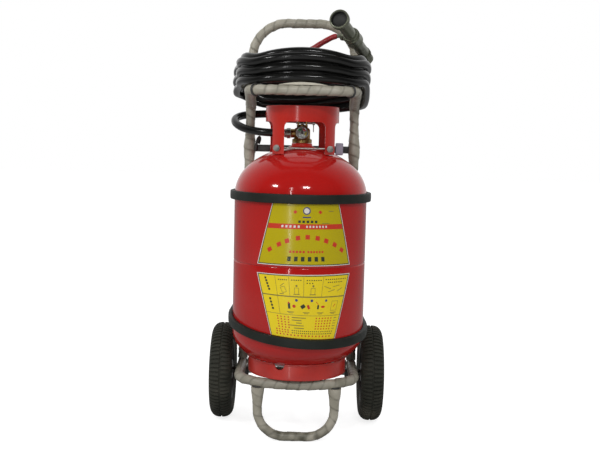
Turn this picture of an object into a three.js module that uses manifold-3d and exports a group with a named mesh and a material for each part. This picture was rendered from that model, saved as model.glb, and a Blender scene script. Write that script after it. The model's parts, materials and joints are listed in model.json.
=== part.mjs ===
// Wheeled fire extinguisher: a 20 litre cylinder on a two-wheeled tube trolley, with a coiled hose and a
// lever-operated nozzle. Millimetres, +Z up. The front faces -Y and the wheels are at the back (+Y).
// The design is laid out round the cylinder's own axis and the finished group is then shifted along Y, so
// that the origin is on the floor under the middle of the object.
import * as THREE from 'three';
import { mergeVertices } from 'three/addons/utils/BufferGeometryUtils.js';
import Module from 'manifold-3d';

const wasm = await Module();
wasm.setup();

// ---- Driving dimensions ----
const GAP = 0.3;                 // clearance between touching pieces
const TUBE_R = 10.25;            // frame tube with its wrapping
const ROUND = 12;                // sides of a tube's section

const CYL_R = 145;               // cylinder
const CYL_WALL = 3;
const CYL_LOW = 228;             // straight part of the cylinder, bottom
const CYL_HIGH = 531;            // straight part of the cylinder, top
const SEAM_Z = 386;
const TOP_DOME = 103;
const LOW_DOME = 80;
const NECK_BORE = 15;
const TURN = THREE.MathUtils.degToRad(5);   // the cylinder and its guard stand turned in the frame

const WHEEL_R = 110;
const WHEEL_W = 52;
const WHEEL_X = 172;
const AXLE_Y = 100;
const AXLE_R = 8;
const RUNNING = 0.1;             // radial clearance of a running fit

const FRAME_TOP = 913;           // handle arch centreline
const ARCH_X = 117;
const ARCH_BEND = 80;
const FOOT_X = 126.5;            // uprights at their lower ends
const RAIL_Z = 129;
const RAIL_X = 127;
const RAIL_BEND = 56;
const RAIL_FRONT = -76;
const LOOP_X = 83;
const LOOP_Y = -80;
const LOOP_BEND = 58;
const RACK_Z = 751;
const RACK_REAR_Z = 729;
const RACK_X = 113;
const RACK_FRONT = -122;
const RACK_BEND = 50;

const GUARD_R = 80;
const GUARD_WALL = 3;
const GUARD_LOW = 618.9;
const GUARD_HIGH = 722;
const GUARD_BAND = 688;          // lower edge of the guard's closed top band
const LEG_W = 33;
const BOLT_Z = 631.5;
const BOLT_R = 3.2;
const BOLTS = [{ side: 'left', x: -54, front: -64.4 }, { side: 'right', x: 60.5, front: -59.2 }];

const NECK_Z = 634.4;
const VALVE_Z = 643;
const OUTLET_Z = 664;
const GAUGE_Z = 665;
const PIVOT_Z = 697;
const LEVER_REACH = 64;
const EAR_X = 7;                 // inner face of the valve's two ears
const EAR_T = 4;

const HOSE_R = 8.75;
const COIL_FRONT = -121;         // centreline of the coil's outer layer
const COIL_BACK = 128;
const COIL_X = 145;

const NOZZLE_TAIL = new THREE.Vector3(145, 75, 835);
const NOZZLE_DIR = new THREE.Vector3(-0.307, -0.924, 0.227).normalize();
const STEM_TILT = THREE.MathUtils.degToRad(12);   // how far the ball valve's stem leans up from level
const BALL_AT = 138;             // ball centre, measured along the nozzle from its tail

const SHIFT_Y = -27.7;           // puts the origin under the middle of the object

// ---- Materials ----
const finish = (color, roughness, metalness) => new THREE.MeshStandardMaterial({ color, roughness, metalness });
const RED = finish(0x9b1f1d, 0.4, 0.1);
const WRAP = finish(0x9c9686, 0.55, 0.2);
const BLACK = finish(0x2a2a28, 0.6, 0);
const RUBBER = finish(0x33332e, 0.9, 0);
const STEEL = finish(0x9a9a96, 0.35, 0.9);
const BRASS = finish(0xab9463, 0.35, 0.9);
const OLIVE = finish(0x575a48, 0.45, 0.5);
const YELLOW = finish(0xcfac06, 0.5, 0);
const WHITE = finish(0xe8e6df, 0.5, 0);
const CLEAR = finish(0xd8e0e0, 0.05, 0);
const LILAC = finish(0xa19dad, 0.5, 0);
const WATER = finish(0x7fa0b0, 0.1, 0);
const BEIGE = finish(0xb8ad94, 0.8, 0);

const part = new THREE.Group();

function add(name, geometry, material, parent = part) {
  const mesh = new THREE.Mesh(geometry, material);
  mesh.name = name;
  parent.add(mesh);
  return mesh;
}

// ---- Geometry helpers ----
const v3 = (x, y, z) => new THREE.Vector3(x, y, z);

/** Puts only welded positions in a geometry, as a boolean needs. */
function welded(geometry) {
  const bare = geometry.clone();
  bare.deleteAttribute('normal');
  bare.deleteAttribute('uv');
  return mergeVertices(bare, 1e-4);
}

function solid(geometry) {
  const mesh = welded(geometry);
  return new wasm.Manifold(new wasm.Mesh({
    numProp: 3,
    vertProperties: new Float32Array(mesh.attributes.position.array),
    triVerts: new Uint32Array(mesh.index.array),
  }));
}

function geometryOf(manifold) {
  const mesh = manifold.getMesh();
  const geometry = new THREE.BufferGeometry();
  geometry.setAttribute('position', new THREE.BufferAttribute(new Float32Array(mesh.vertProperties), 3));
  geometry.setIndex(new THREE.BufferAttribute(new Uint32Array(mesh.triVerts), 1));
  return geometry;
}

const cut = (body, ...tools) => geometryOf(tools.reduce((left, tool) => left.subtract(solid(tool)), solid(body)));
const join = (...pieces) => geometryOf(pieces.map(solid).reduce((left, piece) => left.add(piece)));

/** A regular polygon whose flats, not corners, are at the radius. */
function roundSection(radius, sides = ROUND) {
  const corner = radius / Math.cos(Math.PI / sides);
  const points = [];
  for (let i = 0; i < sides; i += 1) {
    const angle = ((i + 0.5) * 2 * Math.PI) / sides;
    points.push(new THREE.Vector2(corner * Math.cos(angle), corner * Math.sin(angle)));
  }
  return new THREE.Shape(points);
}

const sweep = (section, path, steps) => new THREE.ExtrudeGeometry(section, { steps, extrudePath: path });
const pipe = (path, radius, steps, sides = ROUND) => sweep(roundSection(radius, sides), path, steps);
const rod = (from, to, radius, sides = ROUND) => pipe(new THREE.LineCurve3(from, to), radius, 1, sides);

/** A quarter bend between two directions, as a curve. */
class Bend extends THREE.Curve {
  constructor(corner, before, after, radius) {
    super();
    this.start = corner.clone().addScaledVector(before, -radius);
    this.centre = this.start.clone().addScaledVector(after, radius);
    this.along = before;
    this.out = after.clone().negate();
    this.radius = radius;
  }

  getPoint(t, target = v3(0, 0, 0)) {
    const angle = (t * Math.PI) / 2;
    target.copy(this.centre).addScaledVector(this.out, this.radius * Math.cos(angle));
    return target.addScaledVector(this.along, this.radius * Math.sin(angle));
  }
}

/** A U of tube: down one leg, across, and back along the other, with two quarter bends. */
function uPath(endA, cornerA, cornerB, endB, radius) {
  const legA = cornerA.clone().sub(endA).normalize();
  const across = cornerB.clone().sub(cornerA).normalize();
  const legB = endB.clone().sub(cornerB).normalize();
  const bendA = new Bend(cornerA, legA, across, radius);
  const bendB = new Bend(cornerB, across, legB, radius);
  const path = new THREE.CurvePath();
  path.add(new THREE.LineCurve3(endA, bendA.getPoint(0)));
  path.add(bendA);
  path.add(new THREE.LineCurve3(bendA.getPoint(1), bendB.getPoint(0)));
  path.add(bendB);
  path.add(new THREE.LineCurve3(bendB.getPoint(1), endB));
  return path;
}

/** A turned piece: a closed outline of [radius, height] pairs, turned about Z. */
function turned(outline, segments = 32) {
  const points = outline.map(([radius, height]) => new THREE.Vector2(radius, height));
  points.push(points[0].clone());
  return new THREE.LatheGeometry(points, segments).rotateX(Math.PI / 2);
}

/** A turned piece that is solid on its axis. */
function turnedSolid(outline, segments = 24) {
  const points = outline.map(([radius, height]) => new THREE.Vector2(radius, height));
  return new THREE.LatheGeometry(points, segments).rotateX(Math.PI / 2);
}

const ring = (inner, outer, low, high, segments = 24) => turned(
  [[inner, low], [outer, low], [outer, high], [inner, high]],
  segments,
);

function block(lowCorner, highCorner) {
  const size = highCorner.clone().sub(lowCorner);
  const middle = lowCorner.clone().add(highCorner).multiplyScalar(0.5);
  return new THREE.BoxGeometry(size.x, size.y, size.z).translate(middle.x, middle.y, middle.z);
}

/** Turns a piece made along +Z so that it points along a direction from a place. */
function aimed(geometry, direction, place) {
  const turn = new THREE.Quaternion().setFromUnitVectors(v3(0, 0, 1), direction.clone().normalize());
  return geometry.applyQuaternion(turn).translate(place.x, place.y, place.z);
}

function moveVertices(geometry, rule) {
  const places = geometry.attributes.position;
  const point = v3(0, 0, 0);
  for (let i = 0; i < places.count; i += 1) {
    point.fromBufferAttribute(places, i);
    rule(point);
    places.setXYZ(i, point.x, point.y, point.z);
  }
  return geometry;
}

// ---- Trolley frame ----
const uprightX = (z) => FOOT_X + ((ARCH_X - FOOT_X) * (z - RAIL_Z)) / (FRAME_TOP - ARCH_BEND - RAIL_Z);

function addFrame() {
  const springing = FRAME_TOP - ARCH_BEND;
  const foot = RAIL_Z + TUBE_R + GAP;
  const archPath = uPath(
    v3(-ARCH_X, AXLE_Y, springing + GAP),
    v3(-ARCH_X, AXLE_Y, FRAME_TOP),
    v3(ARCH_X, AXLE_Y, FRAME_TOP),
    v3(ARCH_X, AXLE_Y, springing + GAP),
    ARCH_BEND - GAP,
  );
  add('handle_arch', pipe(archPath, TUBE_R, 14), WRAP);
  for (const [side, sign] of [['left', -1], ['right', 1]]) {
    const low = v3(sign * uprightX(foot), AXLE_Y, foot);
    const high = v3(sign * ARCH_X, AXLE_Y, springing);
    add(`${side}_upright`, rod(low, high, TUBE_R), WRAP);
  }

  const railRear = AXLE_Y + 12;
  const railPath = uPath(
    v3(-RAIL_X, railRear, RAIL_Z),
    v3(-RAIL_X, RAIL_FRONT, RAIL_Z),
    v3(RAIL_X, RAIL_FRONT, RAIL_Z),
    v3(RAIL_X, railRear, RAIL_Z),
    RAIL_BEND,
  );
  add('base_rails', pipe(railPath, TUBE_R, 18), WRAP);
  const crossEnd = RAIL_X - TUBE_R - 2 * GAP;
  add('rear_cross_tube', rod(v3(-crossEnd, AXLE_Y, RAIL_Z), v3(crossEnd, AXLE_Y, RAIL_Z), TUBE_R), WRAP);

  const legTop = RAIL_Z - TUBE_R - GAP;
  const loopPath = uPath(
    v3(-LOOP_X, LOOP_Y, legTop),
    v3(-LOOP_X, LOOP_Y, TUBE_R),
    v3(LOOP_X, LOOP_Y, TUBE_R),
    v3(LOOP_X, LOOP_Y, legTop),
    LOOP_BEND,
  );
  add('foot_loop', pipe(loopPath, TUBE_R, 14), WRAP);
}

function addRack() {
  const rearX = uprightX(RACK_REAR_Z);
  const armLean = 2.2;             // the sloped arm's square-cut end reaches this much further back at its top
  const rear = AXLE_Y - TUBE_R - armLean;
  const bendTop = RACK_FRONT + RACK_BEND;
  const rackPath = new THREE.CurvePath();
  const across = v3(1, 0, 0);
  const leftArm = v3(-RACK_X, bendTop, RACK_Z);
  const rightArm = v3(RACK_X, bendTop, RACK_Z);
  const bendA = new Bend(v3(-RACK_X, RACK_FRONT, RACK_Z), v3(0, -1, 0), across, RACK_BEND);
  const bendB = new Bend(v3(RACK_X, RACK_FRONT, RACK_Z), across, v3(0, 1, 0), RACK_BEND);
  rackPath.add(new THREE.LineCurve3(v3(-rearX, rear, RACK_REAR_Z), leftArm));
  rackPath.add(bendA);
  rackPath.add(new THREE.LineCurve3(bendA.getPoint(1), bendB.getPoint(0)));
  rackPath.add(bendB);
  rackPath.add(new THREE.LineCurve3(rightArm, v3(rearX, rear, RACK_REAR_Z)));
  add('hose_rack', pipe(rackPath, TUBE_R, 18), WRAP);

  const padHalf = 50;
  const padRise = 6;
  const padWidth = 14;
  const pad = new THREE.Shape();
  pad.moveTo(-padHalf, 0);
  pad.lineTo(padHalf, 0);
  pad.quadraticCurveTo(0, 2 * padRise, -padHalf, 0);
  const padGeometry = new THREE.ExtrudeGeometry(pad, { depth: padWidth, bevelEnabled: false, curveSegments: 10 });
  padGeometry.rotateX(Math.PI / 2);
  padGeometry.translate(0, RACK_FRONT + padWidth / 2, RACK_Z + TUBE_R + GAP);
  add('hose_rest_pad', padGeometry, BEIGE);
}

function addRunningGear() {
  const axleHalf = WHEEL_X + WHEEL_W / 2 - 4;
  add('axle', rod(v3(-axleHalf, AXLE_Y, WHEEL_R), v3(axleHalf, AXLE_Y, WHEEL_R), AXLE_R, 24), STEEL);
  const saddle = { halfX: 14, halfY: 17, low: 94 };
  const capR = 17;
  const capT = 7;
  for (const [side, sign] of [['left', -1], ['right', 1]]) {
    const x = sign * RAIL_X;
    const shape = block(
      v3(x - saddle.halfX, AXLE_Y - saddle.halfY, saddle.low),
      v3(x + saddle.halfX, AXLE_Y + saddle.halfY, RAIL_Z - TUBE_R - GAP),
    );
    const bore = rod(v3(x - 40, AXLE_Y, WHEEL_R), v3(x + 40, AXLE_Y, WHEEL_R), AXLE_R + GAP, 24);
    add(`${side}_axle_saddle`, cut(shape, bore), BLACK);
    const capX = sign * (axleHalf + GAP);
    const cap = turnedSolid([[0, 0], [capR, 0], [capR, capT - 3], [capR - 5, capT], [0, capT]]);
    add(`${side}_axle_cap`, aimed(cap, v3(sign, 0, 0), v3(capX, AXLE_Y, WHEEL_R)), STEEL);
    addWheel(side, sign * WHEEL_X);
  }
}

function addWheel(side, x) {
  const wheel = new THREE.Group();
  wheel.rotation.y = Math.PI / 2;
  wheel.position.set(x, AXLE_Y, WHEEL_R);
  part.add(wheel);
  const half = WHEEL_W / 2;
  const seat = 72;
  const shoulder = 6;
  const tyre = turned([
    [seat, -half + 4], [WHEEL_R - shoulder, -half], [WHEEL_R, -half + shoulder],
    [WHEEL_R, half - shoulder], [WHEEL_R - shoulder, half], [seat, half - 4],
  ], 36);
  add(`${side}_tyre`, tyre, RUBBER, wheel);
  const bore = (AXLE_R + RUNNING) / Math.cos(Math.PI / 20);
  const hubR = 22;
  const hubHalf = half - 4.5;
  const webHalf = 7;
  const rimLip = 8;
  const rimR = seat - GAP;
  const hub = turned([
    [bore, -hubHalf], [hubR, -hubHalf], [hubR + 2, -webHalf], [rimR - rimLip, -webHalf],
    [rimR - rimLip, -hubHalf], [rimR, -hubHalf], [rimR, hubHalf], [rimR - rimLip, hubHalf],
    [rimR - rimLip, webHalf], [hubR + 2, webHalf], [hubR, hubHalf], [bore, hubHalf],
  ], 20);
  add(`${side}_wheel_hub`, hub, BLACK, wheel);
}

// ---- Bands round the cylinder and the two uprights ----

/** Points along an arc about a place, from one angle to another. */
function arcPoints(x, y, radius, from, to, steps) {
  return Array.from({ length: steps + 1 }, (unused, i) => {
    const angle = from + ((to - from) * i) / steps;
    return new THREE.Vector2(x + radius * Math.cos(angle), y + radius * Math.sin(angle));
  });
}

/** The outline of a belt stretched round the cylinder and the two uprights beside it. */
function beltOutline(postX, clearance) {
  const big = CYL_R + clearance;
  const small = TUBE_R + 0.4 + clearance;
  const lean = Math.atan2(AXLE_Y, postX);
  const spread = Math.acos((big - small) / Math.hypot(postX, AXLE_Y));
  const near = lean - spread;
  const far = lean + spread;
  return [
    ...arcPoints(0, 0, big, -Math.PI - near, near, 28),
    ...arcPoints(postX, AXLE_Y, small, near, far, 4),
    ...arcPoints(0, 0, big, far, Math.PI - far, 7),
    ...arcPoints(-postX, AXLE_Y, small, Math.PI - far, Math.PI - near, 4),
  ];
}

const BAND = { height: 19, thick: 9, clearance: 0.6 };
const bandTilt = {
  upper: () => 529,
  lower: (x, y) => 230 + (y + CYL_R) * Math.tan(THREE.MathUtils.degToRad(7)) - x * Math.tan(THREE.MathUtils.degToRad(4)),
};

function addBands() {
  for (const [name, level] of Object.entries(bandTilt)) {
    const postX = uprightX(level(0, AXLE_Y));
    const shape = new THREE.Shape(beltOutline(postX, BAND.clearance + BAND.thick));
    shape.holes.push(new THREE.Path(beltOutline(postX, BAND.clearance)));
    const belt = new THREE.ExtrudeGeometry(shape, { depth: BAND.height, bevelEnabled: false });
    moveVertices(belt, (point) => { point.z += level(point.x, point.y) - BAND.height / 2; });
    add(`${name}_band`, belt, BLACK);
  }
}

// ---- Cylinder ----
const cylinder = new THREE.Group();
cylinder.rotation.z = TURN;
part.add(cylinder);

/** Points of a dome from its rim towards its pole, as [radius, height] pairs. */
function dome(radius, rim, rise, poleRadius, steps) {
  const points = [];
  const last = Math.acos(poleRadius / radius);
  for (let i = 0; i <= steps; i += 1) {
    const angle = (last * i) / steps;
    points.push([radius * Math.cos(angle), rim + rise * Math.sin(angle)]);
  }
  return points;
}

function addCylinder() {
  const inner = CYL_R - CYL_WALL;
  const half = GAP / 2;
  const steps = 6;
  add('upper_shell', turned([
    [inner, SEAM_Z + half], [CYL_R, SEAM_Z + half],
    ...dome(CYL_R, CYL_HIGH, TOP_DOME, NECK_BORE, steps),
    ...dome(inner, CYL_HIGH, TOP_DOME - CYL_WALL, NECK_BORE, steps).reverse(),
  ], 36), RED, cylinder);
  const pole = 0.01;
  const lowOuter = dome(CYL_R, CYL_LOW, -LOW_DOME, pole, steps).reverse();
  const lowInner = dome(inner, CYL_LOW, CYL_WALL - LOW_DOME, pole, steps);
  lowOuter[0][0] = 0;
  lowInner[steps][0] = 0;
  add('lower_shell', turnedSolid([
    ...lowOuter, [CYL_R, SEAM_Z - half], [inner, SEAM_Z - half], ...lowInner,
  ], 36), RED, cylinder);

  add('neck_boss', ring(NECK_BORE, 22.5, NECK_Z, VALVE_Z - GAP, 24), RED, cylinder);

  const footRing = { inner: 105, outer: 108, low: RAIL_Z + TUBE_R + GAP, high: 172, notch: 11 };
  const notchAngle = THREE.MathUtils.degToRad(-20);
  const outward = v3(Math.sin(notchAngle), -Math.cos(notchAngle), 0);
  const notchFrom = outward.clone().multiplyScalar(90).setZ(footRing.high);
  const notchTo = outward.clone().multiplyScalar(125).setZ(footRing.high);
  const wall = ring(footRing.inner, footRing.outer, footRing.low, footRing.high, 32);
  add('foot_ring', cut(wall, rod(notchFrom, notchTo, footRing.notch, 16)), RED);

  const charge = { radius: inner - 1, low: CYL_LOW, high: 500, bore: 14 };
  add('liquid_charge', turned([
    [charge.bore, charge.low - 70], [charge.radius * 0.6, charge.low - 55], [charge.radius, charge.low],
    [charge.radius, charge.high], [charge.bore, charge.high],
  ], 20), WATER, cylinder);
}

/** A thin plate bent round the cylinder, with its own half-angle and height at each place. */
function bentPlate(halfAngle, lowZ, highZ) {
  const thick = 0.6;
  const clearance = 0.5;
  const plate = new THREE.BoxGeometry(2, thick, 1, 12, 1, 4);
  return moveVertices(plate, (point) => {
    const up = point.z + 0.5;
    const angle = point.x * THREE.MathUtils.lerp(halfAngle.low, halfAngle.high, up);
    const radius = CYL_R + clearance + thick / 2 - point.y;
    point.set(radius * Math.sin(angle), -radius * Math.cos(angle), 0);
    point.z = THREE.MathUtils.lerp(lowZ(point.x, point.y), highZ(point.x, point.y), up);
  });
}

function addLabels() {
  const degrees = THREE.MathUtils.degToRad;
  const bandEdge = BAND.height / 2 + 0.8;
  const turnBack = (rule) => (x, y) => {
    const at = new THREE.Vector2(x, y).rotateAround(new THREE.Vector2(0, 0), TURN);
    return rule(at.x, at.y);
  };
  const upper = { low: degrees(41.8), high: degrees(28.4) };
  const lower = { low: degrees(27.3), high: degrees(42) };
  const underUpperBand = () => bandTilt.upper() - bandEdge;
  const aboveLowerBand = turnBack((x, y) => bandTilt.lower(x, y) + bandEdge);
  add('upper_label', bentPlate(upper, () => 391, underUpperBand), YELLOW, cylinder);
  add('lower_label', bentPlate(lower, aboveLowerBand, () => 373), YELLOW, cylinder);
}

// ---- Valve guard and what holds it ----

/** Points along a straight line from the front to the back, for the long bolts. */
const boltAxis = (x, from, to) => [v3(x, from, BOLT_Z), v3(x, to, BOLT_Z)];

function addGuard() {
  const wall = ring(GUARD_R - GUARD_WALL, GUARD_R, GUARD_LOW, GUARD_HIGH, 36);
  const legAngle = Math.asin(LEG_W / 2 / GUARD_R);
  const windowHalf = GUARD_R * Math.sin(Math.PI / 4 - legAngle);
  const corner = 12;
  const shape = new THREE.Shape();
  shape.moveTo(-windowHalf, GUARD_LOW - 10);
  shape.lineTo(windowHalf, GUARD_LOW - 10);
  shape.lineTo(windowHalf, GUARD_BAND - corner);
  shape.absarc(windowHalf - corner, GUARD_BAND - corner, corner, 0, Math.PI / 2, false);
  shape.lineTo(corner - windowHalf, GUARD_BAND);
  shape.absarc(corner - windowHalf, GUARD_BAND - corner, corner, Math.PI / 2, Math.PI, false);
  const tools = [];
  for (let i = 0; i < 4; i += 1) {
    const window = new THREE.ExtrudeGeometry(shape, { depth: 60, bevelEnabled: false, curveSegments: 4 });
    window.rotateX(Math.PI / 2);
    window.translate(0, -40, 0);
    window.rotateZ(TURN + (i * Math.PI) / 2);
    tools.push(window);
  }
  for (const { x } of BOLTS) {
    tools.push(rod(...boltAxis(x, -100, 100), BOLT_R + GAP, 12));
  }
  add('valve_guard', cut(wall, ...tools), RED);
}

function addGuardFasteners() {
  const bar = { halfX: ARCH_X - TUBE_R + 2, low: 621.5, high: 637.5, front: 92, back: 99 };
  const barShape = block(v3(-bar.halfX, bar.front, bar.low), v3(bar.halfX, bar.back, bar.high));
  const holes = BOLTS.map(({ x }) => rod(...boltAxis(x, bar.front - 5, bar.back + 5), BOLT_R + GAP, 12));
  add('neck_cross_bar', cut(barShape, ...holes), BLACK);
  const sleeve = { from: 77, to: 95, wall: 1.2, low: 617, high: 645 };
  const outer = block(
    v3(sleeve.from, bar.front - GAP - sleeve.wall, sleeve.low),
    v3(sleeve.to, bar.back + GAP + sleeve.wall, sleeve.high),
  );
  const inside = block(
    v3(sleeve.from - 5, bar.front - GAP, sleeve.low + sleeve.wall),
    v3(sleeve.to + 5, bar.back + GAP, sleeve.high - sleeve.wall),
  );
  add('cross_bar_sleeve', cut(outer, inside), LILAC);

  const head = { radius: 6, depth: 5 };
  const end = bar.back + 9;
  for (const { side, x, front } of BOLTS) {
    const bolt = turnedSolid([
      [0, 0], [head.radius - 1, 0], [head.radius, 1], [head.radius, head.depth],
      [BOLT_R, head.depth], [BOLT_R, end - front + head.depth], [0, end - front + head.depth],
    ], 16);
    add(`${side}_guard_bolt`, aimed(bolt, v3(0, 1, 0), v3(x, front - head.depth, BOLT_Z)), STEEL);
    const nut = ring((BOLT_R + RUNNING) / Math.cos(Math.PI / 16), head.radius, 0, 6, 16);
    add(`${side}_guard_nut`, aimed(nut, v3(0, 1, 0), v3(x, bar.back + GAP, BOLT_Z)), STEEL);
  }

  const tie = { y: -46, radius: 2.25 };
  const [first, second] = BOLTS;
  const reach = BOLT_R + GAP;
  const middle = rod(v3(first.x + reach, tie.y, BOLT_Z), v3(second.x - reach, tie.y, BOLT_Z), tie.radius, 8);
  add('neck_tie_rod', middle, STEEL);
}

// ---- Valve ----
const STEM_R = 3.6;
const STEM_BORE = 4.2;
const BODY_R = 17.5;
const STEM_TOP = PIVOT_Z - 9 - 0.5;      // the cam's smallest radius, and a little play
const SEAT_Z = 640;
const CHAMBER_R = 9;

/** The lever's cam: a spiral whose radius grows by 4 mm in a quarter turn, so it pushes the stem evenly. */
function camShape() {
  const small = 9;
  const growth = 4;
  const steps = 8;
  const points = [];
  for (let i = 0; i <= steps; i += 1) {
    const turn = (i / steps) * (Math.PI / 2);
    const radius = small + growth * (i / steps);
    points.push(new THREE.Vector2(-radius * Math.sin(turn), -radius * Math.cos(turn)));
  }
  points.push(new THREE.Vector2(-small, small * 0.8));
  points.push(new THREE.Vector2(-small * 0.4, small));
  points.push(new THREE.Vector2(LEVER_REACH * 0.3, 6));
  points.push(new THREE.Vector2(LEVER_REACH, 6));
  points.push(new THREE.Vector2(LEVER_REACH + 3, 3));
  points.push(new THREE.Vector2(LEVER_REACH + 3, 0));
  points.push(new THREE.Vector2(12, 0));
  return new THREE.Shape(points.reverse());
}

function addValve() {
  const bodyTop = PIVOT_Z - 21;
  const postTop = bodyTop + 7;
  const body = turned([
    [STEM_BORE, SEAT_Z], [CHAMBER_R, SEAT_Z], [CHAMBER_R, 612], [13, 612], [13, VALVE_Z],
    [21.5, VALVE_Z], [21.5, VALVE_Z + 9], [BODY_R, VALVE_Z + 11], [BODY_R, bodyTop - 2],
    [BODY_R - 2, bodyTop], [12, bodyTop], [12, postTop], [STEM_BORE, postTop],
  ], 20);
  const hubEnd = -25;
  const hub = rod(v3(-10, 0, OUTLET_Z), v3(hubEnd, 0, OUTLET_Z), 9.5, 16);
  const gaugeNeck = rod(v3(0, -10, GAUGE_Z), v3(0, -20, GAUGE_Z), 6, 16);
  const earHalf = 10;
  const ears = [-1, 1].map((sign) => block(
    v3(Math.min(sign * EAR_X, sign * (EAR_X + EAR_T)), -earHalf - 4, postTop - 3),
    v3(Math.max(sign * EAR_X, sign * (EAR_X + EAR_T)), earHalf, PIVOT_Z + 8),
  ));
  const whole = join(body, hub, gaugeNeck, ...ears);
  const stemWay = rod(v3(0, 0, SEAT_Z - 1), v3(0, 0, postTop + 1), STEM_BORE, 16);
  const outletWay = rod(v3(0, 0, OUTLET_Z), v3(hubEnd - 1, 0, OUTLET_Z), 5, 12);
  const pinWay = rod(v3(-20, 0, PIVOT_Z), v3(20, 0, PIVOT_Z), 3 + RUNNING, 16);
  const safetyWay = rod(v3(-20, -11, PIVOT_Z - 11), v3(20, -11, PIVOT_Z - 11), 2 + RUNNING, 16);
  add('valve_body', cut(whole, stemWay, outletWay, pinWay, safetyWay), BRASS);

  const plug = 7.5;
  const stem = turnedSolid([
    [0, SEAT_Z - 9], [plug, SEAT_Z - 9], [plug, SEAT_Z - 2], [STEM_R, SEAT_Z - GAP],
    [STEM_R, STEM_TOP], [0, STEM_TOP],
  ], 16);
  add('valve_stem', stem, STEEL);

  const springLow = 614.5;
  const springHigh = SEAT_Z - 9 - 1.2;
  const coils = 4;
  const radius = 7.5;
  const wire = 0.7;
  class Helix extends THREE.Curve {
    getPoint(t, target = v3(0, 0, 0)) {
      const angle = t * coils * 2 * Math.PI;
      return target.set(radius * Math.cos(angle), radius * Math.sin(angle), springLow + (springHigh - springLow) * t);
    }
  }
  add('stem_spring', pipe(new Helix(), wire, 32, 4), STEEL);

  const siphon = { outer: 8.6, inner: 7.4, low: 190, high: 613.6 };
  add('siphon_tube', ring(siphon.inner, siphon.outer, siphon.low, siphon.high, 16), WHITE);
  const strainer = turnedSolid([
    [0, 170], [10, 170], [11, 174], [11, 200], [siphon.outer + GAP, 200],
    [siphon.outer + GAP, siphon.low - GAP], [0, siphon.low - GAP],
  ], 16);
  add('strainer', strainer, WHITE);

  const leverHalf = EAR_X - 0.4;
  const lever = new THREE.ExtrudeGeometry(camShape(), { depth: 2 * leverHalf, bevelEnabled: false });
  lever.applyMatrix4(new THREE.Matrix4().makeBasis(v3(0, 1, 0), v3(0, 0, 1), v3(1, 0, 0)));
  lever.translate(-leverHalf, 0, PIVOT_Z);
  add('valve_lever', cut(lever, rod(v3(-20, 0, PIVOT_Z), v3(20, 0, PIVOT_Z), 3 + RUNNING, 16)), RED);
  const pinEnd = EAR_X + EAR_T + 2;
  const pivotPin = rod(v3(-pinEnd, 0, PIVOT_Z), v3(pinEnd, 0, PIVOT_Z), 2.9, 16);
  add('lever_pin', pivotPin, STEEL);

  const safety = { y: -11, z: PIVOT_Z - 11, radius: 1.9, end: 21, ring: 9 };
  const pin = rod(v3(-14, safety.y, safety.z), v3(safety.end, safety.y, safety.z), safety.radius, 12);
  const eye = ring(1.7, 4, -1.5, 1.5, 16);
  eye.rotateX(Math.PI / 2).translate(safety.end + 3.4, safety.y, safety.z);
  add('safety_pin', join(pin, eye), STEEL);
  const pull = new THREE.TorusGeometry(safety.ring, 0.9, 6, 18);
  pull.rotateY(Math.PI / 2).translate(safety.end + 3.4, safety.y, safety.z - safety.ring);
  add('pull_ring', pull, STEEL);
}

// ---- Pressure gauge ----
function addGauge() {
  const radius = 13.75;
  const depth = 11;
  const rim = 11.9;
  const back = -20 - GAP;
  const place = v3(0, back, GAUGE_Z);
  const front = v3(0, -1, 0);
  const gauge = (name, geometry, material) => add(name, aimed(geometry, front, place), material);
  gauge('gauge_case', turnedSolid([
    [0, 0], [6, 0], [9, 1.5], [radius, 3], [radius, depth], [rim, depth], [rim, 4], [0, 4],
  ], 28), STEEL);
  gauge('gauge_dial', turnedSolid([[0, 4 + GAP], [rim - GAP, 4 + GAP], [rim - GAP, 5.2], [0, 5.2]], 24), WHITE);
  const needle = new THREE.Shape([
    new THREE.Vector2(-1, -3), new THREE.Vector2(1, -3), new THREE.Vector2(0.4, 8.5), new THREE.Vector2(-0.4, 8.5),
  ]);
  const needleShape = new THREE.ExtrudeGeometry(needle, { depth: 0.6, bevelEnabled: false }).translate(0, 0, 6.2);
  const boss = turnedSolid([[0, 5.6], [1.8, 5.6], [1.8, 7.2], [0, 7.2]], 12);
  gauge('gauge_needle', join(needleShape, boss), BLACK);
  gauge('gauge_lens', turnedSolid([[0, 8.6], [rim - GAP, 8.6], [rim - GAP, 10], [0, 10.4]], 24), CLEAR);
}

// ---- Hose: a lead from the outlet, the coil on the rack, and a tail up to the nozzle ----
const blend = (value, from, to, atFrom, atTo) => THREE.MathUtils.mapLinear(
  THREE.MathUtils.clamp(value, Math.min(from, to), Math.max(from, to)),
  from,
  to,
  atFrom,
  atTo,
);
const COIL_SIDE_FRONT = -62;
const COIL_SIDE_BACK = 82;
const coilBottom = (y) => blend(y, COIL_SIDE_FRONT, COIL_SIDE_BACK, 769, 722);
const coilTop = (y) => (y < COIL_SIDE_FRONT
  ? blend(y, COIL_FRONT, COIL_SIDE_FRONT, 838, 844)
  : blend(y, COIL_SIDE_FRONT, COIL_SIDE_BACK, 844, 817));

function coilOutline(halfX, front, back, frontBend, backBend) {
  const outline = new THREE.Shape();
  outline.moveTo(-halfX + frontBend, front);
  outline.lineTo(halfX - frontBend, front);
  outline.absarc(halfX - frontBend, front + frontBend, frontBend, -Math.PI / 2, 0, false);
  outline.lineTo(halfX, back - backBend);
  outline.absarc(halfX - backBend, back - backBend, backBend, 0, Math.PI / 2, false);
  outline.lineTo(-halfX + backBend, back);
  outline.absarc(-halfX + backBend, back - backBend, backBend, Math.PI / 2, Math.PI, false);
  outline.lineTo(-halfX, front + frontBend);
  outline.absarc(-halfX + frontBend, front + frontBend, frontBend, Math.PI, 1.5 * Math.PI, false);
  return outline;
}

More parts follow.
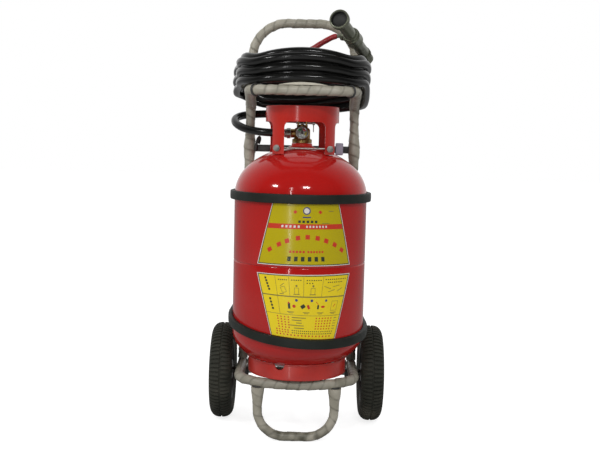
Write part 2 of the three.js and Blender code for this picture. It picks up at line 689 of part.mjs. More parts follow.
const OUTLET_END = -38;
const LEAD_ROUTE = [
  [OUTLET_END - GAP, 0, 664], [-55, 0, 664], [-80, 4, 664.5], [-105, 16, 667], [-130, 38, 673], [-148, 66, 683],
  [-152, 92, 694], [-143, 118, 702], [-120, 133, 707], [-80, 138, 709], [-30, 137, 710], [30, 136, 711],
  [80, 136, 711.5], [115, 133, 711.7], [138, 119, 712], [148, 95, 712.3], [149, 70, 713.5], [148, 45, 720],
  [147, 20, 727],
];
const curveOf = (route) => new THREE.CatmullRomCurve3(route.map((place) => v3(...place)), false, 'centripetal');

function addHose() {
  const coupling = ring(5, 11.3, 0, 8);
  const ferrule = ring(5, 9.7, 7, 12.7);
  const outletTop = -25 - GAP;
  add('outlet_coupling', aimed(join(coupling, ferrule), v3(-1, 0, 0), v3(outletTop, 0, OUTLET_Z)), STEEL);
  add('hose_lead', pipe(curveOf(LEAD_ROUTE), HOSE_R, 30, 8), BLACK);

  const outer = coilOutline(COIL_X + HOSE_R, COIL_FRONT - HOSE_R, COIL_BACK + HOSE_R, 68, 46 + HOSE_R);
  const innerX = COIL_X - HOSE_R;
  outer.holes.push(coilOutline(innerX, COIL_FRONT + 3 * HOSE_R, COIL_BACK - HOSE_R, 50, 46 - HOSE_R));
  const coil = new THREE.ExtrudeGeometry(outer, { depth: 1, bevelEnabled: false, curveSegments: 6 });
  moveVertices(coil, (point) => { point.z = point.z > 0.5 ? coilTop(point.y) : coilBottom(point.y); });
  add('hose_coil', coil, BLACK);

  const along = (distance) => NOZZLE_TAIL.clone().addScaledVector(NOZZLE_DIR, distance).toArray();
  const tail = curveOf([along(-GAP), along(-8), along(-15), [149, 104, 828], [139, 119, 826.4]]);
  add('hose_tail', pipe(tail, HOSE_R, 8, 10), BLACK);
}

// ---- Nozzle with its ball valve ----
const nozzle = new THREE.Group();
nozzle.position.copy(NOZZLE_TAIL);
nozzle.quaternion.setFromUnitVectors(v3(0, 0, 1), NOZZLE_DIR);
part.add(nozzle);

class Stretch extends THREE.Curve {
  constructor(curve, from, to) {
    super();
    this.curve = curve;
    this.from = from;
    this.to = to;
  }

  getPoint(t, target) {
    return this.curve.getPoint(this.from + (this.to - this.from) * t, target);
  }
}

function addNozzle() {
  const rearPipe = 44;
  const valveEnd = 164;
  const barrelEnd = 236;
  add('hose_tail_fitting', turned([
    [6, 0], [11.5, 0], [12, 3], [12, 30], [14.5, 32], [14.5, rearPipe], [6, rearPipe],
  ], 24), OLIVE, nozzle);

  const level = v3(NOZZLE_DIR.y, -NOZZLE_DIR.x, 0).normalize();
  const above = new THREE.Vector3().crossVectors(level, NOZZLE_DIR);
  const stem = level.clone().multiplyScalar(Math.cos(STEM_TILT)).addScaledVector(above, Math.sin(STEM_TILT));
  const localStem = stem.clone().applyQuaternion(nozzle.quaternion.clone().invert());
  const centre = v3(0, 0, BALL_AT);
  const stemPoint = (height) => centre.clone().addScaledVector(localStem, height);
  const body = turned([
    [7.5, rearPipe + GAP], [13, rearPipe + GAP], [13, 112], [15.5, 114], [15.5, 120], [18, 122], [18, 154],
    [15.5, 156], [15.5, valveEnd], [7.5, valveEnd], [7.5, 146.7], [11.6, 145], [11.6, 131], [7.5, 129.3],
  ], 20);
  const stemR = 4;
  add('ball_valve_body', cut(body, rod(centre, stemPoint(30), stemR + GAP, 16)), OLIVE, nozzle);
  const stemTop = 19.5;
  const ball = new THREE.SphereGeometry(10.8, 14, 10).translate(0, 0, BALL_AT);
  const boreDir = new THREE.Vector3().crossVectors(localStem, v3(0, 0, 1));
  const boreEnd = (sign) => centre.clone().addScaledVector(boreDir, 20 * sign);
  const ballShape = geometryOf(
    solid(ball).add(solid(rod(centre, stemPoint(stemTop), stemR, 16)))
      .subtract(solid(rod(boreEnd(-1), boreEnd(1), 6.5, 16))),
  );
  add('valve_ball', ballShape, STEEL, nozzle);

  add('nozzle_barrel', turned([
    [6.5, valveEnd + GAP], [13, valveEnd + GAP], [13, barrelEnd], [6.5, barrelEnd],
  ], 24), OLIVE, nozzle);
  add('nozzle_mouth', turned([
    [9, barrelEnd + GAP], [17, barrelEnd + GAP], [20, 239.5], [20, 251], [16, 251], [16, 242], [9, 239],
  ], 20), OLIVE, nozzle);

  const toFrame = (point) => nozzle.localToWorld(point.clone());
  nozzle.updateMatrixWorld(true);
  const bossLow = stemTop + GAP;
  const root = toFrame(stemPoint(bossLow + 4));
  const leverPath = curveOf([root.toArray(), [64, -39.5, 870], [42, -36, 859], [21, -33, 846], [0, -28, 834]]);
  const boss = aimed(turnedSolid([[0, 0], [9.5, 0], [9.5, 6], [7.5, 8], [0, 8]], 20), stem, toFrame(stemPoint(bossLow)));
  add('nozzle_lever', join(boss, pipe(new Stretch(leverPath, 0, 0.95), 4, 8, 8)), OLIVE);
  const sleeve = pipe(new Stretch(leverPath, 0.27, 1), 8.5, 8, 10);
  const core = pipe(new Stretch(leverPath, 0.2, 0.96), 4 + GAP, 8, 8);
  add('lever_grip', cut(sleeve, core), RED);
}

addFrame();
addRack();
addRunningGear();
addBands();
addCylinder();
addLabels();
addGuard();
addGuardFasteners();
addValve();
addGauge();
addHose();
addNozzle();

part.position.y = SHIFT_Y;

export default part;
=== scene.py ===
"""Wheeled fire extinguisher: the finished surfaces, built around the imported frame.

Lengths in the classes are design millimetres, measured from the cylinder's own axis on the floor. The frame
says where that axis stands, and ``Layout.at`` turns a design place into a place in the frame, in metres.
"""
from __future__ import annotations

import json
import logging
import random
from dataclasses import dataclass, field
from enum import Enum
from math import acos, asin, atan2, copysign, cos, exp, hypot, pi, radians, sin, sqrt, tan
from pathlib import Path
from typing import Callable, Iterable, Sequence

import bpy
from mathutils import Matrix, Vector, noise
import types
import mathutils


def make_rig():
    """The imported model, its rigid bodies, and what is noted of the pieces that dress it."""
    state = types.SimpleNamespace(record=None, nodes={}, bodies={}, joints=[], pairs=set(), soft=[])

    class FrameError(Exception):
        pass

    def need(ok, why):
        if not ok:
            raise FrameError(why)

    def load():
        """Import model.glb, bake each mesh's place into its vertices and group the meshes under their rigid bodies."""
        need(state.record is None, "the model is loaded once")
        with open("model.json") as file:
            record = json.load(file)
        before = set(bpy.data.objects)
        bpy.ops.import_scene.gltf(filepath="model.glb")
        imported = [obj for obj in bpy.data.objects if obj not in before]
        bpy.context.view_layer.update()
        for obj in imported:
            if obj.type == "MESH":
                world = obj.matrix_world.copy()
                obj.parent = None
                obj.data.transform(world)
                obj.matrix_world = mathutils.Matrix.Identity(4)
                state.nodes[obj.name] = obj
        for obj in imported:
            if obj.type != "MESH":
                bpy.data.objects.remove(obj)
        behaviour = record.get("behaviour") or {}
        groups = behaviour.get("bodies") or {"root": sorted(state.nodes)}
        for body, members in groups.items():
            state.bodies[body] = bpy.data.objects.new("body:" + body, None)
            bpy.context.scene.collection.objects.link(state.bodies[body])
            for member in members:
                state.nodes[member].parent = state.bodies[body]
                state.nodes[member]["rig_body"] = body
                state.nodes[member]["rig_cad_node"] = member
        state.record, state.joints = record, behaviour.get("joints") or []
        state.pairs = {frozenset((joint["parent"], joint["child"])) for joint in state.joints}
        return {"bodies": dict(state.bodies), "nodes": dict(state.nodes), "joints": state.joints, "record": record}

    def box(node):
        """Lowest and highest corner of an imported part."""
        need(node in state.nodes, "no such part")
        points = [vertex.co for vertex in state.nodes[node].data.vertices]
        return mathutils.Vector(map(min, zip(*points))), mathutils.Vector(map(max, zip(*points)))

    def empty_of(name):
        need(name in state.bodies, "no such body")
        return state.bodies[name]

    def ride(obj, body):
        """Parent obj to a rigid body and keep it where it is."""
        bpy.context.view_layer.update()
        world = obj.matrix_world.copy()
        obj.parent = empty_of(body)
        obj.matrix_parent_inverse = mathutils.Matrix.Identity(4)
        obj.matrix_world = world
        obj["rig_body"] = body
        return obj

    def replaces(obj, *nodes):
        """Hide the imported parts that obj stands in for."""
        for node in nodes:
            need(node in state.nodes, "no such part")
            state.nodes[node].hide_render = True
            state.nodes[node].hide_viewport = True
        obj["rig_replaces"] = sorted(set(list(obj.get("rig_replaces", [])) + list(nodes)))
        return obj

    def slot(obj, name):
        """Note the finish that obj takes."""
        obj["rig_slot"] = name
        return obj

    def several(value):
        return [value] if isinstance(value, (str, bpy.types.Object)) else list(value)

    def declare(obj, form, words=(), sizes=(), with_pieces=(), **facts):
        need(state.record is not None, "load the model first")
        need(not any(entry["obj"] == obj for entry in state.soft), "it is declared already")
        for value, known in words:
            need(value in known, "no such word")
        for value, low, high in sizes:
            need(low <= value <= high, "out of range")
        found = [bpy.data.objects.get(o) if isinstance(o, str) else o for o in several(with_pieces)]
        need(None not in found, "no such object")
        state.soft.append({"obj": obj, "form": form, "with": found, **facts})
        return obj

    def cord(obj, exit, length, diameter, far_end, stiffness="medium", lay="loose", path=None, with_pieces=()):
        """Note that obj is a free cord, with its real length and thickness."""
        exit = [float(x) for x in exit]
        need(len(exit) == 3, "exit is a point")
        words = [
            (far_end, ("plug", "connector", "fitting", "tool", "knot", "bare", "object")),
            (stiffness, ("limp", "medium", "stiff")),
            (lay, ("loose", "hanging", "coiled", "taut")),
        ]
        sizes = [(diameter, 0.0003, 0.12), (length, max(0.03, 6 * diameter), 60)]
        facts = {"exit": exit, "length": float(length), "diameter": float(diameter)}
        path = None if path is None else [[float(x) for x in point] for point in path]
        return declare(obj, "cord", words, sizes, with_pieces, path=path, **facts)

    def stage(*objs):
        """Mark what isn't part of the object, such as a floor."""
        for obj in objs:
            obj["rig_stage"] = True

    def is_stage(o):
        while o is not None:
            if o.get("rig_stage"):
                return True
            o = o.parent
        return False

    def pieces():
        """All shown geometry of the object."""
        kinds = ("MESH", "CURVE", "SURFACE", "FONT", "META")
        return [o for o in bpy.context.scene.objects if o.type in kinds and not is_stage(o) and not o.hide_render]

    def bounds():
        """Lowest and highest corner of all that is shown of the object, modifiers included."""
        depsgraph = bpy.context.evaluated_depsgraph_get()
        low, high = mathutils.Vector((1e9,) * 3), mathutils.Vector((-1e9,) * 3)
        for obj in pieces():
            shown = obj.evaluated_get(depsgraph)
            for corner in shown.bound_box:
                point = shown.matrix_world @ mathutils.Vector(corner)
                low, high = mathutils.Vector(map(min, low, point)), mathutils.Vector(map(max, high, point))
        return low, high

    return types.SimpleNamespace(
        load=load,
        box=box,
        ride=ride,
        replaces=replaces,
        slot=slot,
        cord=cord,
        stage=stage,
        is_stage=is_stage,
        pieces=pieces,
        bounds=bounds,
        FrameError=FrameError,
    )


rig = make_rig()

log = logging.getLogger("extinguisher")

MM = 0.001
UP = Vector((0, 0, 1))
ROUND = 64
Outline = Sequence[tuple[float, float]]
Color = tuple[float, float, float]
Piece = bpy.types.Object
Socket = bpy.types.NodeSocket


class Body(Enum):
    """The rigid bodies that pieces ride on."""

    TROLLEY = "trolley"
    LEFT_WHEEL = "left_wheel"
    RIGHT_WHEEL = "right_wheel"
    MAIN_LEVER = "main_lever"
    STEM = "stem"
    PIN = "pin"
    NEEDLE = "needle"
    NOZZLE_HANDLE = "nozzle_handle"


# --- places


@dataclass
class Layout:
    """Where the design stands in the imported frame."""

    axis: Vector = field(default_factory=lambda: Vector((0, 0, 0)))

    def read(self) -> None:
        """Takes the cylinder's axis from the middle of the neck boss."""
        low, high = (Vector(corner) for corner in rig.box("neck_boss"))
        self.axis = Vector(((low.x + high.x) / 2, (low.y + high.y) / 2, 0))

    def at(self, x: float, y: float, z: float) -> Vector:
        """Turns a design place into a place in the frame.

        Args:
            x: millimetres to the right of the cylinder's axis.
            y: millimetres behind it.
            z: millimetres above the floor.

        Returns:
            The place in metres.
        """
        return Vector((x * MM, y * MM, z * MM)) + self.axis

    def around(self, angle: float, radius: float, z: float) -> Vector:
        """A place round the cylinder's axis; the angle runs from the front towards +X, in radians."""
        return self.at(radius * sin(angle), -radius * cos(angle), z)


LAYOUT = Layout()
at = LAYOUT.at


# --- modelling by hand


def deselect() -> None:
    """Leaves every object unselected, in object mode."""
    if bpy.context.mode != "OBJECT":
        bpy.ops.object.mode_set(mode="OBJECT")
    bpy.ops.object.select_all(action="DESELECT")


def pick(obj: Piece) -> None:
    """Makes an object the only selected one, and the active one."""
    deselect()
    obj.select_set(True)
    bpy.context.view_layer.objects.active = obj


def settle(obj: Piece) -> None:
    """Puts an object's place, turn and size into its mesh."""
    pick(obj)
    bpy.ops.object.transform_apply(location=True, rotation=True, scale=True)


def modify(obj: Piece, kind: str, **settings: object) -> None:
    """Adds one modifier with its settings, and applies it.

    Args:
        obj: the piece.
        kind: Blender's name for the kind of modifier.
        settings: the modifier's own properties.
    """
    pick(obj)
    modifier = obj.modifiers.new(kind.lower(), kind)
    for name, value in settings.items():
        setattr(modifier, name, value)
    bpy.ops.object.modifier_apply(modifier=modifier.name)


def bevel(obj: Piece, width: float, segments: int = 2, degrees: float = 30) -> None:
    """Rounds a piece's sharp edges over a width in millimetres."""
    modify(
        obj, "BEVEL", width=width * MM, segments=segments, limit_method="ANGLE",
        angle_limit=radians(degrees), harden_normals=False,
    )


def tidy_mesh(obj: Piece) -> None:
    """Merges doubled points and turns all faces outwards."""
    pick(obj)
    bpy.ops.object.mode_set(mode="EDIT")
    bpy.ops.mesh.select_all(action="SELECT")
    bpy.ops.mesh.remove_doubles(threshold=0.001 * MM)
    bpy.ops.mesh.normals_make_consistent(inside=False)
    bpy.ops.object.mode_set(mode="OBJECT")


def aim(obj: Piece, direction: Vector, place: Vector) -> None:
    """Turns a piece made along +Z towards a direction, and puts its foot at a place."""
    obj.rotation_mode = "QUATERNION"
    obj.rotation_quaternion = UP.rotation_difference(direction.normalized())
    obj.location = place
    settle(obj)


def turned(
    name: str, outline: Outline, place: Vector | None = None, direction: Vector = UP, segments: int = ROUND,
) -> Piece:
    """Turns an outline round an axis, as on a lathe.

    Args:
        name: the piece's name.
        outline: radius and height of each corner, in millimetres; a hollow piece's closes on itself.
        place: where the axis starts, in metres; left out, it is the cylinder's axis at the floor.
        direction: which way the axis points.
        segments: steps round the axis.

    Returns:
        The closed piece.
    """
    deselect()
    bpy.ops.mesh.primitive_plane_add(size=MM)
    obj = bpy.context.active_object
    bpy.ops.object.mode_set(mode="EDIT")
    bpy.ops.mesh.select_all(action="SELECT")
    bpy.ops.mesh.merge(type="CENTER")
    corners = [Vector((radius * MM, 0, height * MM)) for radius, height in outline]
    if outline[0][0] > 0.01 or outline[-1][0] > 0.01:
        corners.append(corners[0])
    bpy.ops.transform.translate(value=corners[0])
    for before, after in zip(corners, corners[1:]):
        bpy.ops.mesh.extrude_vertices_move(TRANSFORM_OT_translate={"value": after - before})
    bpy.ops.mesh.select_all(action="SELECT")
    bpy.ops.mesh.remove_doubles(threshold=0.001 * MM)
    bpy.ops.mesh.spin(steps=segments, angle=2 * pi, center=(0, 0, 0), axis=(0, 0, 1))
    bpy.ops.mesh.select_all(action="SELECT")
    bpy.ops.mesh.remove_doubles(threshold=0.002 * MM)
    bpy.ops.mesh.normals_make_consistent(inside=False)
    bpy.ops.object.mode_set(mode="OBJECT")
    obj.name = name
    aim(obj, direction, at(0, 0, 0) if place is None else place)
    return obj


def rod(
    name: str, start: Vector, end: Vector, radius: float, sides: int = 24, inset: float = 0.0,
) -> Piece:
    """A round bar between two places, with its end edges eased.

    Args:
        name: the piece's name.
        start: one end, in metres.
        end: the other end.
        radius: in millimetres.
        sides: corners of its section; six makes a hexagon.
        inset: width of the eased end edges, in millimetres.

    Returns:
        The bar.
    """
    deselect()
    span = end - start
    bpy.ops.mesh.primitive_cylinder_add(vertices=sides, radius=radius * MM, depth=span.length)
    obj = bpy.context.active_object
    obj.name = name
    aim(obj, span, (start + end) / 2)
    if inset:
        bevel(obj, inset)
    return obj


def block(name: str, low: Vector, high: Vector, edge: float, segments: int = 2) -> Piece:
    """A box between two corners with rounded edges, its edge radius in millimetres."""
    deselect()
    bpy.ops.mesh.primitive_cube_add(size=1, location=(low + high) / 2)
    obj = bpy.context.active_object
    obj.name = name
    obj.scale = high - low
    settle(obj)
    bevel(obj, edge, segments)
    return obj


def ring_wire(name: str, place: Vector, axis: Vector, radius: float, wire: float) -> Piece:
    """A closed wire ring round an axis; radius and wire radius in millimetres."""
    deselect()
    bpy.ops.mesh.primitive_torus_add(
        major_radius=radius * MM, minor_radius=wire * MM, major_segments=48, minor_segments=10,
    )
    obj = bpy.context.active_object
    obj.name = name
    aim(obj, axis, place)
    return obj


def joined(name: str, parts: Sequence[Piece]) -> Piece:
    """Makes several pieces one object."""
    deselect()
    for part in parts:
        part.select_set(True)
    bpy.context.view_layer.objects.active = parts[0]
    bpy.ops.object.join()
    obj = bpy.context.active_object
    obj.name = name
    return obj


def carve(obj: Piece, tools: Sequence[Piece]) -> None:
    """Cuts the tools out of a piece, and removes them."""
    for tool in tools:
        modify(obj, "BOOLEAN", object=tool, operation="DIFFERENCE", solver="EXACT")
        bpy.data.objects.remove(tool, do_unlink=True)


def mesh_piece(
    name: str, points: Sequence[Vector], faces: Sequence[Sequence[int]], smooth: bool = True,
) -> Piece:
    """Makes a piece of its points and faces, for shapes that no primitive leads to."""
    mesh = bpy.data.meshes.new(name)
    mesh.from_pydata([tuple(point) for point in points], [], [tuple(face) for face in faces])
    mesh.validate()
    obj = bpy.data.objects.new(name, mesh)
    bpy.context.scene.collection.objects.link(obj)
    if smooth:
        mesh.polygons.foreach_set("use_smooth", [True] * len(mesh.polygons))
    return obj


def dress(
    obj: Piece, finish: Finish, slot: str, *nodes: str, body: Body = Body.TROLLEY,
    smooth: float | None = 40,
) -> Piece:
    """Dresses a finished piece, and says what it rides on and what it stands for.

    Args:
        obj: the piece, at the origin with its place in its mesh.
        finish: its surface.
        slot: the record's material slot.
        nodes: the frame's nodes that it replaces.
        body: what it moves with.
        smooth: shade edges up to this many degrees smooth, or None to leave the shading alone.

    Returns:
        The same piece.
    """
    obj.data.materials.clear()
    obj.data.materials.append(finish.material())
    if smooth is not None:
        pick(obj)
        bpy.ops.object.shade_smooth_by_angle(angle=radians(smooth))
    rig.ride(obj, body.value)
    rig.slot(obj, slot)
    if nodes:
        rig.replaces(obj, *nodes)
    log.info("%s: %d faces", obj.name, len(obj.data.polygons))
    return obj


# --- finishes


class Nodes:
    """A small helper for laying out shader nodes in one tree."""

    def __init__(self, tree: bpy.types.NodeTree) -> None:
        """Keeps the tree that the nodes go into."""
        self.tree = tree

    def add(self, kind: str, values: dict[str, object] | None = None, **settings: object) -> bpy.types.Node:
        """Adds a node.

        Args:
            kind: the node's type name.
            values: plain values for its input sockets, by socket name.
            settings: the node's own properties.

        Returns:
            The node.
        """
        node = self.tree.nodes.new(kind)
        for name, value in settings.items():
            setattr(node, name, value)
        for name, value in (values or {}).items():
            node.inputs[name].default_value = value
        return node

    def link(self, source: Socket, target: Socket) -> None:
        """Joins an output to an input."""
        self.tree.links.new(source, target)

    def noise(self, vector: Socket, scale: object, detail: float = 3) -> Socket:
        """A noise over a vector; the scale is a number or a socket. Returns its factor."""
        node = self.add("ShaderNodeTexNoise", {"Detail": detail})
        self.link(vector, node.inputs["Vector"])
        if isinstance(scale, (int, float)):
            node.inputs["Scale"].default_value = scale
        else:
            self.link(scale, node.inputs["Scale"])
        return node.outputs["Fac"]

    def math(self, operation: str, first: object, second: object) -> Socket:
        """An arithmetic node on two numbers or sockets. Returns its value."""
        node = self.add("ShaderNodeMath", operation=operation)
        for socket, value in zip(node.inputs, (first, second)):
            if isinstance(value, (int, float)):
                socket.default_value = value
            else:
                self.link(value, socket)
        return node.outputs[0]

    def spread(self, value: Socket, low: float, high: float, to_low: float, to_high: float,
               ) -> Socket:
        """Maps a value from one range to another, and keeps it inside. Returns the result."""
        node = self.add("ShaderNodeMapRange", {
            "From Min": low, "From Max": high, "To Min": to_low, "To Max": to_high,
        })
        self.link(value, node.inputs["Value"])
        return node.outputs["Result"]

    def mix(self, amount: Socket, first: object, second: object) -> Socket:
        """Mixes two colours or colour sockets by an amount. Returns the colour."""
        node = self.add("ShaderNodeMix", data_type="RGBA")
        self.link(amount, node.inputs["Factor"])
        for name, value in (("A", first), ("B", second)):
            socket = next(item for item in node.inputs if item.name == name and item.type == "RGBA")
            if isinstance(value, Socket):
                self.link(value, socket)
            else:
                socket.default_value = (*value, 1)
        return next(item for item in node.outputs if item.type == "RGBA")


class WearGroup:
    """The shared effect of use: mottled colour, settled grime, uneven gloss and fine grain."""

    NAME = "wear"
    NUMBERS = (
        ("Mottle Scale", 12.0), ("Mottle", 0.3), ("Grime Scale", 9.0), ("Grime", 0.1),
        ("Roughness", 0.4), ("Roughness Spread", 0.1), ("Grain Scale", 900.0),
    )
    COLORS = ("Color", "Second Color", "Grime Color")

    def build(self) -> bpy.types.NodeTree:
        """Builds the group once, and returns it after that."""
        if self.NAME in bpy.data.node_groups:
            return bpy.data.node_groups[self.NAME]
        tree = bpy.data.node_groups.new(self.NAME, "ShaderNodeTree")
        face = tree.interface
        face.new_socket("Vector", in_out="INPUT", socket_type="NodeSocketVector")
        for name in self.COLORS:
            face.new_socket(name, in_out="INPUT", socket_type="NodeSocketColor")
        for name, value in self.NUMBERS:
            face.new_socket(name, in_out="INPUT", socket_type="NodeSocketFloat").default_value = value
        face.new_socket("Color", in_out="OUTPUT", socket_type="NodeSocketColor")
        face.new_socket("Roughness", in_out="OUTPUT", socket_type="NodeSocketFloat")
        face.new_socket("Height", in_out="OUTPUT", socket_type="NodeSocketFloat")
        nodes = Nodes(tree)
        given = nodes.add("NodeGroupInput").outputs
        result = nodes.add("NodeGroupOutput").inputs
        vector = given["Vector"]

        mottle = nodes.spread(nodes.noise(vector, given["Mottle Scale"], 5), 0.35, 0.65, 0, 1)
        base = nodes.mix(
            nodes.math("MULTIPLY", mottle, given["Mottle"]), given["Color"], given["Second Color"],
        )
        cloud = nodes.noise(vector, given["Grime Scale"], 8)
        reach = nodes.math("SUBTRACT", 0.72, nodes.math("MULTIPLY", given["Grime"], 0.4))
        above = nodes.math("MULTIPLY", nodes.math("SUBTRACT", cloud, reach), 7.0)
        grime = nodes.spread(above, 0, 1, 0, 0.85)
        nodes.link(nodes.mix(grime, base, given["Grime Color"]), result["Color"])

        sheen = nodes.math("SUBTRACT", nodes.noise(vector, 55, 4), 0.5)
        uneven = nodes.math("MULTIPLY", sheen, given["Roughness Spread"])
        dull = nodes.math("MULTIPLY", grime, 0.25)
        rough = nodes.math("ADD", nodes.math("ADD", given["Roughness"], uneven), dull)
        nodes.link(nodes.spread(rough, 0, 1, 0, 1), result["Roughness"])
        nodes.link(nodes.noise(vector, given["Grain Scale"], 2), result["Height"])
        return tree


@dataclass(frozen=True)
class Finish:
    """One surface finish. Colours are linear; scales are per metre; grain depth is in millimetres."""

    name: str
    color: Color
    second: Color
    roughness: float = 0.4
    metallic: float = 0.0
    coat: float = 0.0
    mottle: float = 0.35
    mottle_scale: float = 14.0
    grime: float = 0.1
    grime_color: Color = (0.05, 0.045, 0.035)
    grime_scale: float = 10.0
    spread: float = 0.25
    grain_scale: float = 900.0
    grain: float = 0.05
    stretch: tuple[float, float, float] = (1.0, 1.0, 1.0)
    specular: float = 0.5

    def material(self) -> bpy.types.Material:
        """Builds the finish's material once, and returns it after that."""
        title = f"{self.name} finish"
        if title in bpy.data.materials:
            return bpy.data.materials[title]
        material = bpy.data.materials.new(title)
        material.use_nodes = True
        nodes = Nodes(material.node_tree)
        shader = material.node_tree.nodes["Principled BSDF"]
        shader.inputs["Metallic"].default_value = self.metallic
        shader.inputs["Coat Weight"].default_value = self.coat
        shader.inputs["Coat Roughness"].default_value = 0.06
        shader.inputs["Specular IOR Level"].default_value = self.specular
        place = nodes.add("ShaderNodeTexCoord").outputs["Object"]
        mapping = nodes.add("ShaderNodeMapping", {"Scale": self.stretch})
        nodes.link(place, mapping.inputs["Vector"])
        wear = nodes.add("ShaderNodeGroup", node_tree=WearGroup().build())
        for name, value in (
            ("Color", (*self.color, 1)), ("Second Color", (*self.second, 1)),
            ("Grime Color", (*self.grime_color, 1)), ("Mottle", self.mottle),
            ("Mottle Scale", self.mottle_scale), ("Grime", self.grime), ("Grime Scale", self.grime_scale),
            ("Roughness", self.roughness), ("Roughness Spread", self.spread),
            ("Grain Scale", self.grain_scale),
        ):
            wear.inputs[name].default_value = value
        nodes.link(mapping.outputs["Vector"], wear.inputs["Vector"])
        bump = nodes.add("ShaderNodeBump", {"Strength": 0.6, "Distance": self.grain * MM})
        nodes.link(wear.outputs["Height"], bump.inputs["Height"])
        nodes.link(wear.outputs["Roughness"], shader.inputs["Roughness"])
        nodes.link(bump.outputs["Normal"], shader.inputs["Normal"])
        nodes.link(self.tint(nodes, wear.outputs["Color"]), shader.inputs["Base Color"])
        return material

    def tint(self, nodes: Nodes, color: Socket) -> Socket:
        """What the finish adds to the worn colour; a plain finish adds nothing."""
        return color


@dataclass(frozen=True)
class WrapFinish(Finish):
    """Packing film wound round a tube: its attribute ``lap`` is dark along the film's edges."""

    lap_color: Color = (0.13, 0.12, 0.095)
    lap_amount: float = 0.92

    def tint(self, nodes: Nodes, color: Socket) -> Socket:
        """Darkens the film's edges, and scuffs it where the attribute ``worn`` says."""
        lap = nodes.add("ShaderNodeAttribute", attribute_name="lap").outputs["Fac"]
        worn = nodes.add("ShaderNodeAttribute", attribute_name="worn").outputs["Fac"]
        edged = nodes.mix(nodes.math("MULTIPLY", lap, self.lap_amount), color, self.lap_color)
        return nodes.mix(worn, edged, (0.085, 0.08, 0.055))


@dataclass(frozen=True)
class WindowFinish(Finish):
    """Clear plastic, with the faint haze of handling."""

    def material(self) -> bpy.types.Material:
        """Builds the window's material once, and returns it after that."""
        title = f"{self.name} finish"
        if title in bpy.data.materials:
            return bpy.data.materials[title]
        material = bpy.data.materials.new(title)
        material.use_nodes = True
        nodes = Nodes(material.node_tree)
        shader = material.node_tree.nodes["Principled BSDF"]
        shader.inputs["Base Color"].default_value = (*self.color, 1)
        shader.inputs["Transmission Weight"].default_value = 1.0
        shader.inputs["IOR"].default_value = 1.45
        place = nodes.add("ShaderNodeTexCoord").outputs["Object"]
        haze = nodes.spread(nodes.noise(place, 300, 4), 0.3, 0.7, 0.02, 0.12)
        nodes.link(haze, shader.inputs["Roughness"])
        return material


